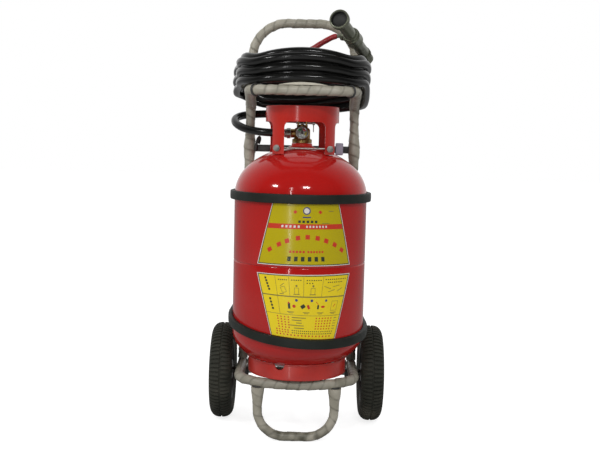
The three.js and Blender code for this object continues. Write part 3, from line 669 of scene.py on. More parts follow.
class Finishes:
    """The finishes of this object."""

    ENAMEL = Finish(
        "red_enamel", (0.385, 0.0095, 0.008), (0.32, 0.008, 0.007), specular=0.42, roughness=0.1,
        mottle=0.6,
        mottle_scale=7, grime=0.03, grime_color=(0.16, 0.02, 0.016), grain_scale=120, grain=0.006,
        spread=0.06,
    )
    GUARD = Finish(
        "guard_enamel", (0.46, 0.022, 0.014), (0.36, 0.014, 0.011), roughness=0.18, mottle=0.6, spread=0.1,
        grime=0.06, grime_color=(0.14, 0.02, 0.015), grain_scale=200, grain=0.02, stretch=(1, 1, 0.35),
    )
    FOOT = Finish(
        "foot_enamel", (0.42, 0.022, 0.014), (0.3, 0.014, 0.011), roughness=0.36, coat=0.15, mottle=0.8,
        grime=0.25, grime_color=(0.1, 0.025, 0.018), grain_scale=350, grain=0.07,
    )
    WRAP = WrapFinish(
        "wrapping_film", (0.37, 0.345, 0.285), (0.24, 0.225, 0.175), roughness=0.42, mottle=0.9,
        mottle_scale=32, grime=0.22, grime_color=(0.12, 0.11, 0.085), grime_scale=22, grain_scale=420,
        grain=0.25,
    )
    BLACK_STEEL = Finish(
        "black_steel", (0.026, 0.026, 0.026), (0.045, 0.043, 0.04), roughness=0.45, mottle=0.6, grime=0.2,
        grime_color=(0.09, 0.085, 0.075), grain_scale=700, grain=0.06,
    )
    BAND = Finish(
        "band_rubber", (0.011, 0.014, 0.011), (0.017, 0.02, 0.017), specular=0.2, roughness=0.5,
        mottle=0.7, mottle_scale=30,
        grime=0.12, grime_color=(0.04, 0.04, 0.035), grain_scale=800, grain=0.08,
    )
    TYRE = Finish(
        "tyre_rubber", (0.022, 0.023, 0.017), (0.036, 0.036, 0.027), specular=0.25, roughness=0.75,
        mottle=0.9, mottle_scale=26,
        grime=0.4, grime_color=(0.075, 0.07, 0.055), grain_scale=900, grain=0.18,
    )
    HUB = Finish(
        "hub_paint", (0.022, 0.021, 0.019), (0.04, 0.037, 0.032), roughness=0.5, grime=0.3,
        grime_color=(0.085, 0.07, 0.05), grain=0.1,
    )
    HOSE = Finish(
        "hose_rubber", (0.005, 0.005, 0.0047), (0.008, 0.008, 0.0075), specular=0.36, roughness=0.2,
        mottle=0.7, spread=0.08,
        mottle_scale=40, grime=0.04, grime_color=(0.03, 0.03, 0.027), grain_scale=1200, grain=0.004,
    )
    STEEL = Finish(
        "bright_steel", (0.5, 0.49, 0.46), (0.38, 0.37, 0.34), roughness=0.3, metallic=1.0, mottle=0.6,
        mottle_scale=60, grime=0.15, grime_color=(0.12, 0.1, 0.075), grain_scale=1500, grain=0.03,
    )
    DULL_STEEL = Finish(
        "grey_steel", (0.3, 0.3, 0.28), (0.2, 0.19, 0.17), roughness=0.48, metallic=0.9, grime=0.3,
        grain=0.08,
        grime_color=(0.1, 0.07, 0.045),
    )
    BRASS = Finish(
        "brass", (0.42, 0.28, 0.1), (0.3, 0.19, 0.07), roughness=0.33, metallic=1.0, mottle=0.8,
        mottle_scale=70,
        grime=0.3, grime_color=(0.1, 0.065, 0.025), grime_scale=40, grain_scale=1200, grain=0.05,
    )
    OLIVE = Finish(
        "nozzle_alloy", (0.155, 0.165, 0.12), (0.105, 0.11, 0.075), roughness=0.38, metallic=0.65,
        mottle=0.8,
        mottle_scale=45, grime=0.25, grime_color=(0.05, 0.05, 0.032), grime_scale=30, grain=0.07,
    )
    # Painted shade: a near-black finish for the sheet that darkens the inside of the nozzle's mouth.
    BORE = Finish("dark_bore", (0.012, 0.013, 0.011), (0.02, 0.02, 0.018), roughness=0.6)
    VINYL = Finish(
        "red_vinyl", (0.30, 0.008, 0.012), (0.2, 0.006, 0.009), roughness=0.34, coat=0.2, mottle=0.6,
        grime=0.12, grime_color=(0.07, 0.01, 0.01), grain_scale=700, grain=0.08,
    )
    LILAC = Finish(
        "lilac_plastic", (0.37, 0.35, 0.44), (0.3, 0.28, 0.36), roughness=0.42, grime=0.15,
        grime_color=(0.2, 0.19, 0.22), grain=0.06,
    )
    FELT = Finish(
        "pad_felt", (0.5, 0.47, 0.39), (0.42, 0.39, 0.32), roughness=0.95, mottle=0.9, mottle_scale=80,
        grime=0.3, grime_color=(0.2, 0.17, 0.12), grain_scale=2200, grain=0.35,
    )
    LABEL_UPPER = Finish(
        "label_gold", (0.42, 0.34, 0.0008), (0.38, 0.31, 0.001), specular=0.35, roughness=0.2, mottle=0.5,
        mottle_scale=11, grime=0.02, grime_color=(0.35, 0.25, 0.02), grain_scale=200, grain=0.04,
    )
    LABEL_LOWER = Finish(
        "label_yellow", (0.7, 0.54, 0.01), (0.63, 0.485, 0.01), specular=0.35, roughness=0.33, mottle=0.5,
        mottle_scale=11, grime=0.03, grime_color=(0.4, 0.3, 0.05), grain_scale=200, grain=0.04,
    )
    INK_RED = Finish("ink_red", (0.5, 0.03, 0.008), (0.44, 0.025, 0.008), roughness=0.3, grain=0.02)
    INK_BLACK = Finish("ink_black", (0.02, 0.03, 0.015), (0.035, 0.04, 0.02), roughness=0.35, grain=0.02)
    INK_OLIVE = Finish("ink_olive", (0.2, 0.16, 0.03), (0.16, 0.13, 0.025), roughness=0.35, grain=0.02)
    INK_BLUE = Finish("ink_blue", (0.03, 0.04, 0.16), (0.04, 0.05, 0.2), roughness=0.35, grain=0.02)
    PAPER = Finish("label_edge", (0.62, 0.6, 0.55), (0.5, 0.48, 0.44), roughness=0.4, grain=0.02)
    DIAL = Finish("dial_face", (0.55, 0.55, 0.52), (0.48, 0.48, 0.45), roughness=0.4, grime=0.1, grain=0.02)
    DIAL_RED = Finish("dial_red", (0.52, 0.02, 0.03), (0.45, 0.02, 0.025), roughness=0.4, grain=0.02)
    DIAL_GREEN = Finish("dial_green", (0.03, 0.2, 0.05), (0.025, 0.17, 0.04), roughness=0.4, grain=0.02)
    DIAL_YELLOW = Finish("dial_yellow", (0.5, 0.38, 0.02), (0.45, 0.34, 0.02), roughness=0.4, grain=0.02)
    NEEDLE = Finish("needle_black", (0.01, 0.01, 0.01), (0.02, 0.02, 0.02), roughness=0.5, grain=0.02)
    POLYMER = Finish("white_polymer", (0.6, 0.59, 0.55), (0.52, 0.5, 0.46), roughness=0.45, grain=0.04)
    WINDOW = WindowFinish("clear window", (0.95, 0.97, 0.97), (0.95, 0.97, 0.97))
    LIQUID = Finish("liquid", (0.2, 0.35, 0.4), (0.17, 0.3, 0.35), roughness=0.08, grain=0.01)


# --- routes


def rounded_route(corners: Sequence[Vector], radius: float, step: float = 1.7) -> list[Vector]:
    """A route along straight stretches joined by round bends.

    Args:
        corners: the route's ends and the corners between them, in metres.
        radius: of every bend's centreline, in millimetres.
        step: greatest distance between neighbouring points, in millimetres.

    Returns:
        Evenly spaced points along the route.
    """
    rough = [corners[0]]
    for before, corner, after in zip(corners, corners[1:], corners[2:]):
        come, leave = (corner - before).normalized(), (after - corner).normalized()
        turn = come.angle(leave)
        start = corner - come * radius * MM * tan(turn / 2)
        inward = (leave - come * come.dot(leave)).normalized()
        centre = start + inward * radius * MM
        for index in range(13):
            angle = turn * index / 12
            rough.append(centre + (come * sin(angle) - inward * cos(angle)) * radius * MM)
    rough.append(corners[-1])
    return evenly(rough, step)


def evenly(points: Sequence[Vector], step: float) -> list[Vector]:
    """Spaces points evenly along a broken line, about a step in millimetres apart."""
    marks = [0.0]
    for before, after in zip(points, points[1:]):
        marks.append(marks[-1] + (after - before).length)
    count = max(2, round(marks[-1] / (step * MM)))
    spaced, span = [], 0
    for index in range(count + 1):
        target = marks[-1] * index / count
        while span < len(points) - 2 and marks[span + 1] < target:
            span += 1
        share = (target - marks[span]) / max(marks[span + 1] - marks[span], 1e-9)
        spaced.append(points[span].lerp(points[span + 1], min(1.0, share)))
    return spaced


def through(points: Sequence[Vector], pieces: int = 8) -> list[Vector]:
    """A smooth line through points (centripetal Catmull-Rom).

    Args:
        points: the points it passes through.
        pieces: straight pieces between two of them.

    Returns:
        The line's points.
    """
    ends = [points[0] * 2 - points[1], *points, points[-1] * 2 - points[-2]]
    line = []
    for p0, p1, p2, p3 in zip(ends, ends[1:], ends[2:], ends[3:]):
        knots = [0.0]
        for before, after in ((p0, p1), (p1, p2), (p2, p3)):
            knots.append(knots[-1] + sqrt((after - before).length))
        t0, t1, t2, t3 = knots
        for index in range(pieces):
            t = t1 + (t2 - t1) * index / pieces
            a1 = p0.lerp(p1, (t - t0) / (t1 - t0))
            a2 = p1.lerp(p2, (t - t1) / (t2 - t1))
            a3 = p2.lerp(p3, (t - t2) / (t3 - t2))
            b1 = a1.lerp(a2, (t - t0) / (t2 - t0))
            b2 = a2.lerp(a3, (t - t1) / (t3 - t1))
            line.append(b1.lerp(b2, (t - t1) / (t2 - t1)))
    line.append(points[-1].copy())
    return line


def ease(value: float, low: float, high: float) -> float:
    """A smooth step from 0 to 1 between two values, which may run downwards."""
    share = min(1.0, max(0.0, (value - low) / (high - low)))
    return share * share * (3 - 2 * share)


def carried_frames(route: Sequence[Vector], closed: bool = False) -> list[tuple[Vector, Vector]]:
    """Two cross directions at each point of a route, carried along it without twist."""
    frames = []
    count = len(route)
    side = None
    for index in range(count):
        ahead = route[(index + 1) % count] if closed else route[min(index + 1, count - 1)]
        behind = route[index - 1] if closed or index else route[0]
        along = (ahead - behind).normalized()
        if side is None:
            helper = UP if abs(along.z) < 0.9 else Vector((0, -1, 0))
            side = helper.cross(along).normalized()
        side = (side - along * side.dot(along)).normalized()
        frames.append((side, along.cross(side)))
    return frames


def skin(name: str, rings: Sequence[Sequence[Vector]], closed: bool = False) -> Piece:
    """Covers rings of points with faces, and caps the ends unless the rings form a loop.

    Args:
        name: the piece's name.
        rings: the sections, each with the same number of points.
        closed: whether the last ring joins the first.

    Returns:
        The closed piece.
    """
    sides = len(rings[0])
    points = [point for ring in rings for point in ring]
    faces = []
    spans = len(rings) if closed else len(rings) - 1
    for row in range(spans):
        here, there = row * sides, ((row + 1) % len(rings)) * sides
        for side in range(sides):
            beside = (side + 1) % sides
            faces.append((here + side, here + beside, there + beside, there + side))
    if not closed:
        faces.append(tuple(reversed(range(sides))))
        faces.append(tuple(range(len(points) - sides, len(points))))
    obj = mesh_piece(name, points, faces)
    tidy_mesh(obj)
    return obj


def circle_rings(
    route: Sequence[Vector], radius: Callable[[int, float], float], sides: int = 24, closed: bool = False,
) -> list[list[Vector]]:
    """Round sections along a route, their radius in millimetres given by point number and angle."""
    rings = []
    for index, (point, (side, up)) in enumerate(zip(route, carried_frames(route, closed))):
        ring = []
        for step in range(sides):
            angle = 2 * pi * step / sides
            reach = radius(index, angle) * MM
            ring.append(point + (side * cos(angle) + up * sin(angle)) * reach)
        rings.append(ring)
    return rings


# --- room


@dataclass
class Studio:
    """The floor, the lights and the camera."""

    camera_distance: float = 2012
    camera_height: float = 646
    pitch: float = 5.2
    roll: float = 1.35
    lens: float = 54.9
    fill: float = 0.66
    gloss_front: float = 0.02
    gloss_back: float = 0.9

    def build(self) -> None:
        """Makes the room."""
        self.camera()
        self.floor()
        self.surround()
        self.lights()
        view = bpy.context.scene.view_settings
        view.view_transform = "Standard"
        view.look = "None"
        view.exposure = 0.0

    def camera(self) -> None:
        """Places the camera in front of the object, a little above its middle."""
        deselect()
        bpy.ops.object.camera_add(location=at(0, -self.camera_distance, self.camera_height))
        camera = bpy.context.active_object
        camera.name = "camera"
        tilt = Matrix.Rotation(radians(90 - self.pitch), 4, "X")
        camera.rotation_euler = (tilt @ Matrix.Rotation(radians(self.roll), 4, "Z")).to_euler()
        camera.data.lens = self.lens
        camera.data.sensor_width = 36
        bpy.context.scene.camera = camera

    def floor(self) -> None:
        """Lays a plain pale floor."""
        deselect()
        bpy.ops.mesh.primitive_plane_add(size=1, location=(0, 0, -0.0005))
        floor = bpy.context.active_object
        floor.name = "studio_floor"
        bpy.ops.object.mode_set(mode="EDIT")
        bpy.ops.mesh.select_all(action="SELECT")
        bpy.ops.transform.resize(value=(30, 30, 1))
        bpy.ops.object.mode_set(mode="OBJECT")
        settle(floor)
        floor.data.materials.append(self.white_ground())
        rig.stage(floor)

    @staticmethod
    def white_ground() -> bpy.types.Material:
        """The floor's finish: a blank white sheet with the faintest of shadows."""
        material = bpy.data.materials.new("white_ground")
        material.use_nodes = True
        nodes = Nodes(material.node_tree)
        shader = material.node_tree.nodes["Principled BSDF"]
        place = nodes.add("ShaderNodeTexCoord").outputs["Object"]
        nodes.link(
            nodes.mix(nodes.noise(place, 2, 2), (0.5, 0.5, 0.5), (0.47, 0.47, 0.47)),
            shader.inputs["Base Color"],
        )
        shader.inputs["Roughness"].default_value = 0.9
        shader.inputs["Specular IOR Level"].default_value = 0.0
        shader.inputs["Emission Color"].default_value = (1, 1, 1, 1)
        seen = nodes.add("ShaderNodeLightPath").outputs["Is Camera Ray"]
        nodes.link(nodes.math("MULTIPLY", seen, 0.8), shader.inputs["Emission Strength"])
        return material

    def surround(self) -> None:
        """Sets a white backdrop that lights evenly, but is dark in the gloss of what faces forwards."""
        world = bpy.context.scene.world or bpy.data.worlds.new("surround")
        bpy.context.scene.world = world
        world.use_nodes = True
        nodes = Nodes(world.node_tree)
        background = world.node_tree.nodes["Background"]
        rays = nodes.add("ShaderNodeLightPath").outputs
        split = nodes.add("ShaderNodeSeparateXYZ")
        nodes.link(nodes.add("ShaderNodeTexCoord").outputs["Generated"], split.inputs[0])
        gloss = nodes.spread(split.outputs["Y"], -0.25, 0.75, self.gloss_front, self.gloss_back)
        soft = nodes.math("MULTIPLY", rays["Is Diffuse Ray"], self.fill)
        mirror = nodes.math("MULTIPLY", rays["Is Glossy Ray"], gloss)
        through_clear = nodes.math("MULTIPLY", rays["Is Transmission Ray"], 0.35)
        seen = nodes.math("ADD", rays["Is Camera Ray"], through_clear)
        total = nodes.math("ADD", nodes.math("ADD", soft, mirror), seen)
        background.inputs["Color"].default_value = (1, 1, 1, 1)
        nodes.link(total, background.inputs["Strength"])

    def lights(self) -> None:
        """Sets a narrow strip to the left of the camera, and soft boxes above and at the sides."""
        target = at(0, 0, 480)
        for name, place, size, power, mirrored in (
            ("strip", (-560, -1900, 800), (0.05, 1.5), 5, True),
            ("left_window", (-1600, -1450, 1750), (0.32, 0.16), 12, True),
            ("right_window", (370, -2100, 1750), (0.4, 0.16), 13, True),
            ("left_box", (-2300, -100, 1300), (1.0, 1.4), 4, False),
            ("right_box", (2300, -100, 1200), (1.0, 1.4), 4, False),
            ("top_box", (0, 200, 2900), (1.6, 1.6), 7, False),
        ):
            deselect()
            bpy.ops.object.light_add(type="AREA", location=at(*place))
            light = bpy.context.active_object
            light.name = name
            light.data.shape = "RECTANGLE"
            light.data.size, light.data.size_y = size
            light.data.energy = power
            light.visible_glossy = mirrored
            light.rotation_euler = (light.location - target).to_track_quat("Z", "Y").to_euler()


# --- hose


@dataclass
class Hose:
    """The hose: a lead from the outlet, six turns on the rack, and a tail up into the nozzle."""

    radius: float = 8.75
    side_x: float = 138
    front_y: float = -121
    back_y: float = 128
    front_square: float = 2.45
    back_bend: float = 32
    nest: float = 16.5
    left_lift: float = 22
    front_low: float = 777.8
    droop: float = 7.5
    turns: int = 6
    points_per_turn: int = 44
    lead: tuple[tuple[float, float, float], ...] = (
        (-38.3, 0, 664), (-55, 0, 664), (-80, 4, 664.5), (-105, 16, 667), (-132, 38, 673), (-151, 66, 683),
        (-156, 92, 694), (-146, 118, 702), (-121, 133, 707), (-80, 138, 709), (-30, 137, 711),
        (30, 135, 717),
        (75, 131, 723), (108, 127, 728), (129, 117, 730), (138, 96, 731.5), (139, 70, 735),
        (139, 45, 741.5),
        (138.5, 20, 750),
    )
    tail: tuple[tuple[float, float, float], ...] = ((139, 112, 826), (147.5, 92, 831), (145.1, 75.3, 834.9))

    def side_height(self, x: float, y: float) -> float:
        """Height of the lowest turn's centreline along the coil's sides and back."""
        rise = (82 - min(82.0, max(-62.0, y))) / 144
        lift = self.left_lift * ease(-x, 85, self.side_x) * ease(y, -62, 60)
        return 722 + 47 * rise + lift + self.radius

    @staticmethod
    def nested(turn: int) -> tuple[float, float]:
        """How many hoses a turn lies inside the front layer, and its row there."""
        return ((0, 0), (0.62, 0.62), (0, 1.25), (0.62, 1.88), (0, 2.5), (0.55, 3.13), (0.2, 4.0))[turn]

    def plan(self) -> list[tuple[float, float]]:
        """One turn seen from above, from the middle of the right side forwards and round."""
        front = []
        for index in range(61):
            turn = pi * index / 60
            across, ahead = cos(turn), sin(turn)
            power = 2 / self.front_square
            x = copysign(abs(across) ** power, across) * self.side_x
            front.append(Vector((x, self.front_y * abs(ahead) ** power, 0)) * MM)
        corners = [
            Vector((-self.side_x, 0, 0)), Vector((-self.side_x, self.back_y, 0)),
            Vector((self.side_x, self.back_y, 0)), Vector((self.side_x, 0, 0)),
        ]
        back = rounded_route([corner * MM for corner in corners], self.back_bend)
        loop = evenly(front + back[1:], self.length_of(front + back[1:]) / MM / self.points_per_turn)
        return [(point.x / MM, point.y / MM) for point in loop[:-1]]

    def turn_place(self, turn: int, share: float, x: float, y: float, stray: float) -> Vector:
        """One place on the coil's centreline.

        Args:
            turn: which turn, counted from below.
            share: how far round the turn, from 0 to 1.
            x: the place on the turn's plan.
            y: the same.
            stray: a small shift, in millimetres.

        Returns:
            The place in the frame.
        """
        here, there = self.nested(turn), self.nested(turn + 1)
        crossed = ease(share, 0.70, 0.89)
        gathered = ease(y, 75, -30) if share > 0.85 else 0.0
        inset = here[0] * (1 - crossed) + there[0] * crossed * gathered
        stacked = (turn + 1) * (1 - gathered) + there[1] * gathered
        row = here[1] * (1 - crossed) + stacked * crossed
        outward = 0.8 * ease(y, 20, 75) * (1 - crossed) if x < 0 or y > 100 else 0.0
        reach = self.nest * (outward - inset) + 0.8 * sin(7 * share + turn * 1.7) + stray
        ahead = ease(-y, 20, 100)
        droop = (self.droop + 2.2 * row) * ahead * min(1.0, abs(x) / 105) ** 2
        bulge = (self.front_low - self.side_height(0, -62)) * ease(-y, 0, 60)
        height = self.side_height(x, y) + bulge - droop + 17.0 * row
        return at(x * (1 + reach / self.side_x), y * (1 + reach / self.back_y), height + stray)

    @staticmethod
    def length_of(points: Sequence[Vector]) -> float:
        """The length of a broken line, in metres."""
        return sum((after - before).length for before, after in zip(points, points[1:]))

    def route(self) -> list[Vector]:
        """The whole centreline, in the frame."""
        drift = random.Random(20)
        plan = self.plan()
        route = [at(*place) for place in self.lead]
        for turn in range(self.turns):
            for index, (x, y) in enumerate(plan):
                share = index / len(plan)
                if turn == 0 and share < 0.03:
                    continue
                if turn == self.turns - 1 and share > 0.8:
                    break
                route.append(self.turn_place(turn, share, x, y, drift.uniform(-0.12, 0.12)))
        route += [at(*place) for place in self.tail]
        return route

    def build(self) -> None:
        route = self.route()
        deselect()
        bpy.ops.curve.primitive_nurbs_path_add()
        hose = bpy.context.active_object
        hose.name = "hose"
        curve = hose.data
        curve.splines.clear()
        spline = curve.splines.new("NURBS")
        spline.points.add(len(route) - 1)
        for point, place in zip(spline.points, route):
            point.co = (*place, 1)
        spline.order_u = 4
        spline.use_endpoint_u = True
        spline.resolution_u = 5
        curve.dimensions = "3D"
        curve.resolution_u = 5
        curve.bevel_depth = self.radius * MM
        curve.bevel_resolution = 5
        curve.use_fill_caps = True
        hose.location = (0, 0, 0)
        curve.materials.append(Finishes.HOSE.material())
        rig.ride(hose, Body.TROLLEY.value)
        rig.slot(hose, "hose_rubber")
        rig.replaces(hose, "hose_lead", "hose_coil", "hose_tail")
        length = self.length_of(route)
        log.info("hose: %.2f m", length)
        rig.cord(
            hose, exit=at(-38, 0, 664), length=6.2, diameter=2 * self.radius * MM, far_end="fitting",
            stiffness="stiff", lay="coiled", with_pieces=[bpy.data.objects[name] for name in Nozzle.PIECES],
        )


# --- trolley frame


@dataclass
class WrappedTube:
    """A frame tube wound with packing film: each lap stands on the one before it."""

    name: str
    route: list[Vector]
    node: str
    radius: float = 10.25
    lap_pitch: float = 25.0
    lap_step: float = 1.15
    crumple: float = 0.6
    swells: tuple[tuple[Vector, float, float], ...] = ()
    worn: Callable[[Vector], float] | None = None
    sides: int = 26

    def build(self) -> Piece:
        """Makes the tube with its film."""
        phase = 0.37 * len(self.name)
        run = [0.0]
        for before, after in zip(self.route, self.route[1:]):
            run.append(run[-1] + (after - before).length / MM)
        laps: list[float] = []

        def radius(index: int, angle: float) -> float:
            """Radius at one point, from its place in the lap, the crumpling and the swellings."""
            point = self.route[index]
            around = Vector((cos(angle), sin(angle), 0))
            wander = 0.22 * noise.noise(point * 14 + around * 0.4)
            lap = (run[index] / self.lap_pitch + angle / (2 * pi) + phase + wander) % 1.0
            edge = exp(-((min(lap, 1 - lap) / 0.075) ** 2))
            laps.append(edge * (0.75 + 0.6 * noise.noise(point * 60 + around)))
            extra = sum(
                more * exp(-(((point - centre).length / MM / half) ** 2))
                for centre, half, more in self.swells
            )
            creases = noise.noise(point * 75 + around * 1.3) + 0.5 * noise.noise(point * 190 + around * 2.5)
            return self.radius - 0.7 + self.lap_step * (1 - lap) + self.crumple * creases + extra

        obj = skin(self.name, circle_rings(self.route, radius, self.sides))
        mesh = obj.data
        lap_layer = mesh.attributes.new("lap", "FLOAT", "POINT")
        worn_layer = mesh.attributes.new("worn", "FLOAT", "POINT")
        for index, vertex in enumerate(mesh.vertices):
            if index < len(laps):
                lap_layer.data[index].value = max(0.0, laps[index])
            worn_layer.data[index].value = self.worn(vertex.co) if self.worn else 0.0
        return dress(obj, Finishes.WRAP, "wrapped_tube", self.node, smooth=50)


@dataclass
class TrolleyFrame:
    """The tube frame: handle arch, uprights, base, foot loop and hose rack."""

    tube: float = 10.25
    gap: float = 0.3
    back: float = 100
    top: float = 913
    arch_x: float = 117
    arch_bend: float = 80
    foot_x: float = 126.5
    rail_z: float = 129
    rail_x: float = 127
    rail_bend: float = 56
    rail_front: float = -76
    rail_bow: float = 11
    loop_x: float = 83
    loop_y: float = -80
    loop_bend: float = 58
    rack_z: float = 751
    rack_rear_z: float = 729
    rack_x: float = 113
    rack_front: float = -122
    rack_bend: float = 50
    bar_z: float = 629.5

    def upright_x(self, z: float) -> float:
        """How far an upright stands from the middle at a height."""
        springing = self.top - self.arch_bend
        return self.foot_x + (self.arch_x - self.foot_x) * (z - self.rail_z) / (springing - self.rail_z)

    def build(self) -> None:
        """Makes all the tubes."""
        self.uprights()
        self.arch()
        self.base()
        self.foot_loop()
        self.rack()
        self.welds()

    def uprights(self) -> None:
        """Makes the two uprights, swollen with film where other parts are tied on."""
        low, high = self.rail_z + self.tube + self.gap, self.top - self.arch_bend
        for side, sign in (("left", -1), ("right", 1)):
            def post(z: float, sign: int = sign) -> Vector:
                """A place on this upright's centreline."""
                return at(sign * self.upright_x(z), self.back, z)
            WrappedTube(
                f"{side}_upright_film", evenly([post(low), post(high)], 1.7), f"{side}_upright",
                swells=(
                    (post(self.bar_z), 26, 3.8), (post(self.rack_rear_z), 24, 1.6),
                    (post(low + 6), 16, 1.4),
                ),
                worn=lambda point: 0.5 * ease(point.z, 0.2, 0.15),
            ).build()

    def arch(self) -> None:
        """Makes the handle arch; its film is worn darker at the top."""
        low = self.top - self.arch_bend + self.gap
        route = rounded_route([
            at(-self.arch_x, self.back, low), at(-self.arch_x, self.back, self.top),
            at(self.arch_x, self.back, self.top), at(self.arch_x, self.back, low),
        ], self.arch_bend - self.gap)
        WrappedTube(
            "handle_arch_film", route, "handle_arch", lap_pitch=24,
            worn=lambda point: 0.25 * ease(abs(point.x), 0.06, 0.02),
        ).build()

    def base(self) -> None:
        """Makes the base rails with their front bend, and the rear cross tube."""
        rear = self.back + 12
        route = rounded_route([
            at(-self.rail_x, rear, self.rail_z), at(-self.rail_x, self.rail_front, self.rail_z),
            at(self.rail_x, self.rail_front, self.rail_z), at(self.rail_x, rear, self.rail_z),
        ], self.rail_bend)
        for point in route:
            bow = ease((self.rail_front + 30) * MM + LAYOUT.axis.y - point.y, 0, 0.03)
            bow *= max(0.0, 1 - ((point.x - LAYOUT.axis.x) / 0.1) ** 2)
            point.y -= self.rail_bow * MM * bow
            point.z -= 0.3 * self.rail_bow * MM * bow
        WrappedTube("base_rails_film", route, "base_rails", worn=lambda point: 0.25, radius=10.9).build()
        half = self.rail_x - self.tube - 1
        cross = evenly([at(-half, self.back, self.rail_z), at(half, self.back, self.rail_z)], 1.7)
        WrappedTube("rear_cross_film", cross, "rear_cross_tube", worn=lambda point: 0.3).build()

    def foot_loop(self) -> None:
        """Makes the foot loop; its film is worn through where it rests on the floor."""
        legs = self.rail_z - self.tube - self.gap
        route = rounded_route([
            at(-self.loop_x, self.loop_y, legs), at(-self.loop_x, self.loop_y, self.tube),
            at(self.loop_x, self.loop_y, self.tube), at(self.loop_x, self.loop_y, legs),
        ], self.loop_bend)
        WrappedTube(
            "foot_loop_film", route, "foot_loop", crumple=0.4, lap_step=0.6,
            swells=((route[0], 26, 4.5), (route[-1], 26, 4.5)),
            worn=lambda point: 0.95 * ease(point.z, 0.045, 0.012) * (0.55 + noise.noise(point * 70)),
        ).build()

    def rack(self) -> None:
        """Makes the hose rack."""
        bend_y = self.rack_front + self.rack_bend
        rear_x, rear_y = self.upright_x(self.rack_rear_z), self.back - self.tube - 1.2
        front = rounded_route([
            at(-self.rack_x, bend_y, self.rack_z), at(-self.rack_x, self.rack_front, self.rack_z),
            at(self.rack_x, self.rack_front, self.rack_z), at(self.rack_x, bend_y, self.rack_z),
        ], self.rack_bend)
        ends = [at(-rear_x, rear_y, self.rack_rear_z), at(rear_x, rear_y, self.rack_rear_z)]
        WrappedTube(
            "hose_rack_film", evenly([ends[0], *front, ends[1]], 1.7), "hose_rack", lap_pitch=22,
            crumple=0.7,
            swells=((ends[0], 20, 1.5), (ends[1], 20, 1.5)),
        ).build()

    def welds(self) -> None:
        """Runs a weld bead round the top of each foot-loop leg, where it meets the base rails."""
        spots = []
        for sign in (-1, 1):
            leg_top = at(sign * self.loop_x, self.loop_y + 1, self.rail_z - self.tube * 0.9)
            spots.append((f"leg_weld_{'left' if sign < 0 else 'right'}", leg_top, UP))
        for name, place, axis in spots:
            bead = ring_wire(name, place, axis, self.tube * 0.96, 1.9)
            dress(bead, Finishes.BLACK_STEEL, "black_steel")


# --- bands


@dataclass
class Bands:
    """The two rubber-covered hoops that hold the cylinder to the uprights."""

    height: float = 19
    thick: float = 9
    clearance: float = 0.6
    cylinder: float = 145
    posts: TrolleyFrame = field(default_factory=TrolleyFrame)

    def belt(self, post_x: float, outset: float) -> list[tuple[float, float]]:
        """The belt's line round the cylinder and both uprights, seen from above."""
        big, small = self.cylinder + outset, self.posts.tube + 0.4 + outset
        lean = atan2(self.posts.back, post_x)
        spread = acos((big - small) / hypot(post_x, self.posts.back))
        near, far = lean - spread, lean + spread
        stretches = (
            (0, 0, big, -pi - near, near, 96), (post_x, self.posts.back, small, near, far, 8),
            (0, 0, big, far, pi - far, 24),
            (-post_x, self.posts.back, small, pi - far, pi - near, 8),
        )
        line = []
        for x, y, radius, start, end, steps in stretches:
            for index in range(steps + 1):
                angle = start + (end - start) * index / steps
                line.append((x + radius * cos(angle), y + radius * sin(angle)))
        return line

    @staticmethod
    def upper_level(x: float, y: float) -> float:
        """The upper band is level."""
        return 529

    @staticmethod
    def lower_level(x: float, y: float) -> float:
        """The lower band hangs down at the front and a little at the right."""
        return 230 + (y + 145) * tan(radians(7)) - x * tan(radians(4))

    def section(self) -> list[tuple[float, float]]:
        """The hoop's section: flat inside, softly crowned outside. Pairs of outset and height."""
        half, edge = self.height / 2, 2.2
        low, high = self.clearance, self.clearance + self.thick
        return [
            (low, -half + 0.6), (low, half - 0.6), (low + 0.6, half), (high - edge, half),
            (high - edge * 0.3, half - edge * 0.3), (high - 0.25, half - edge), (high, half * 0.45),
            (high + 0.1, 0),
            (high, -half * 0.45), (high - 0.25, edge - half), (high - edge * 0.3, edge * 0.3 - half),
            (high - edge, -half), (low + 0.6, -half),
        ]

    def build(self) -> None:
        """Makes both bands."""
        for name, level in (("upper_band", self.upper_level), ("lower_band", self.lower_level)):
            post_x = self.posts.upright_x(level(0, self.posts.back))
            lines = [(self.belt(post_x, outset), height) for outset, height in self.section()]
            rings = []
            for index in range(len(lines[0][0])):
                ring = []
                for line, height in lines:
                    x, y = line[index]
                    ripple = 0.35 * noise.noise(Vector((x, y, height)) * 0.03) if height else 0.0
                    ring.append(at(x, y, level(x, y) + height + ripple))
                rings.append(ring)
            obj = skin(f"{name}_rubber", rings, closed=True)
            dress(obj, Finishes.BAND, "band_rubber", name, smooth=45)


# --- cylinder


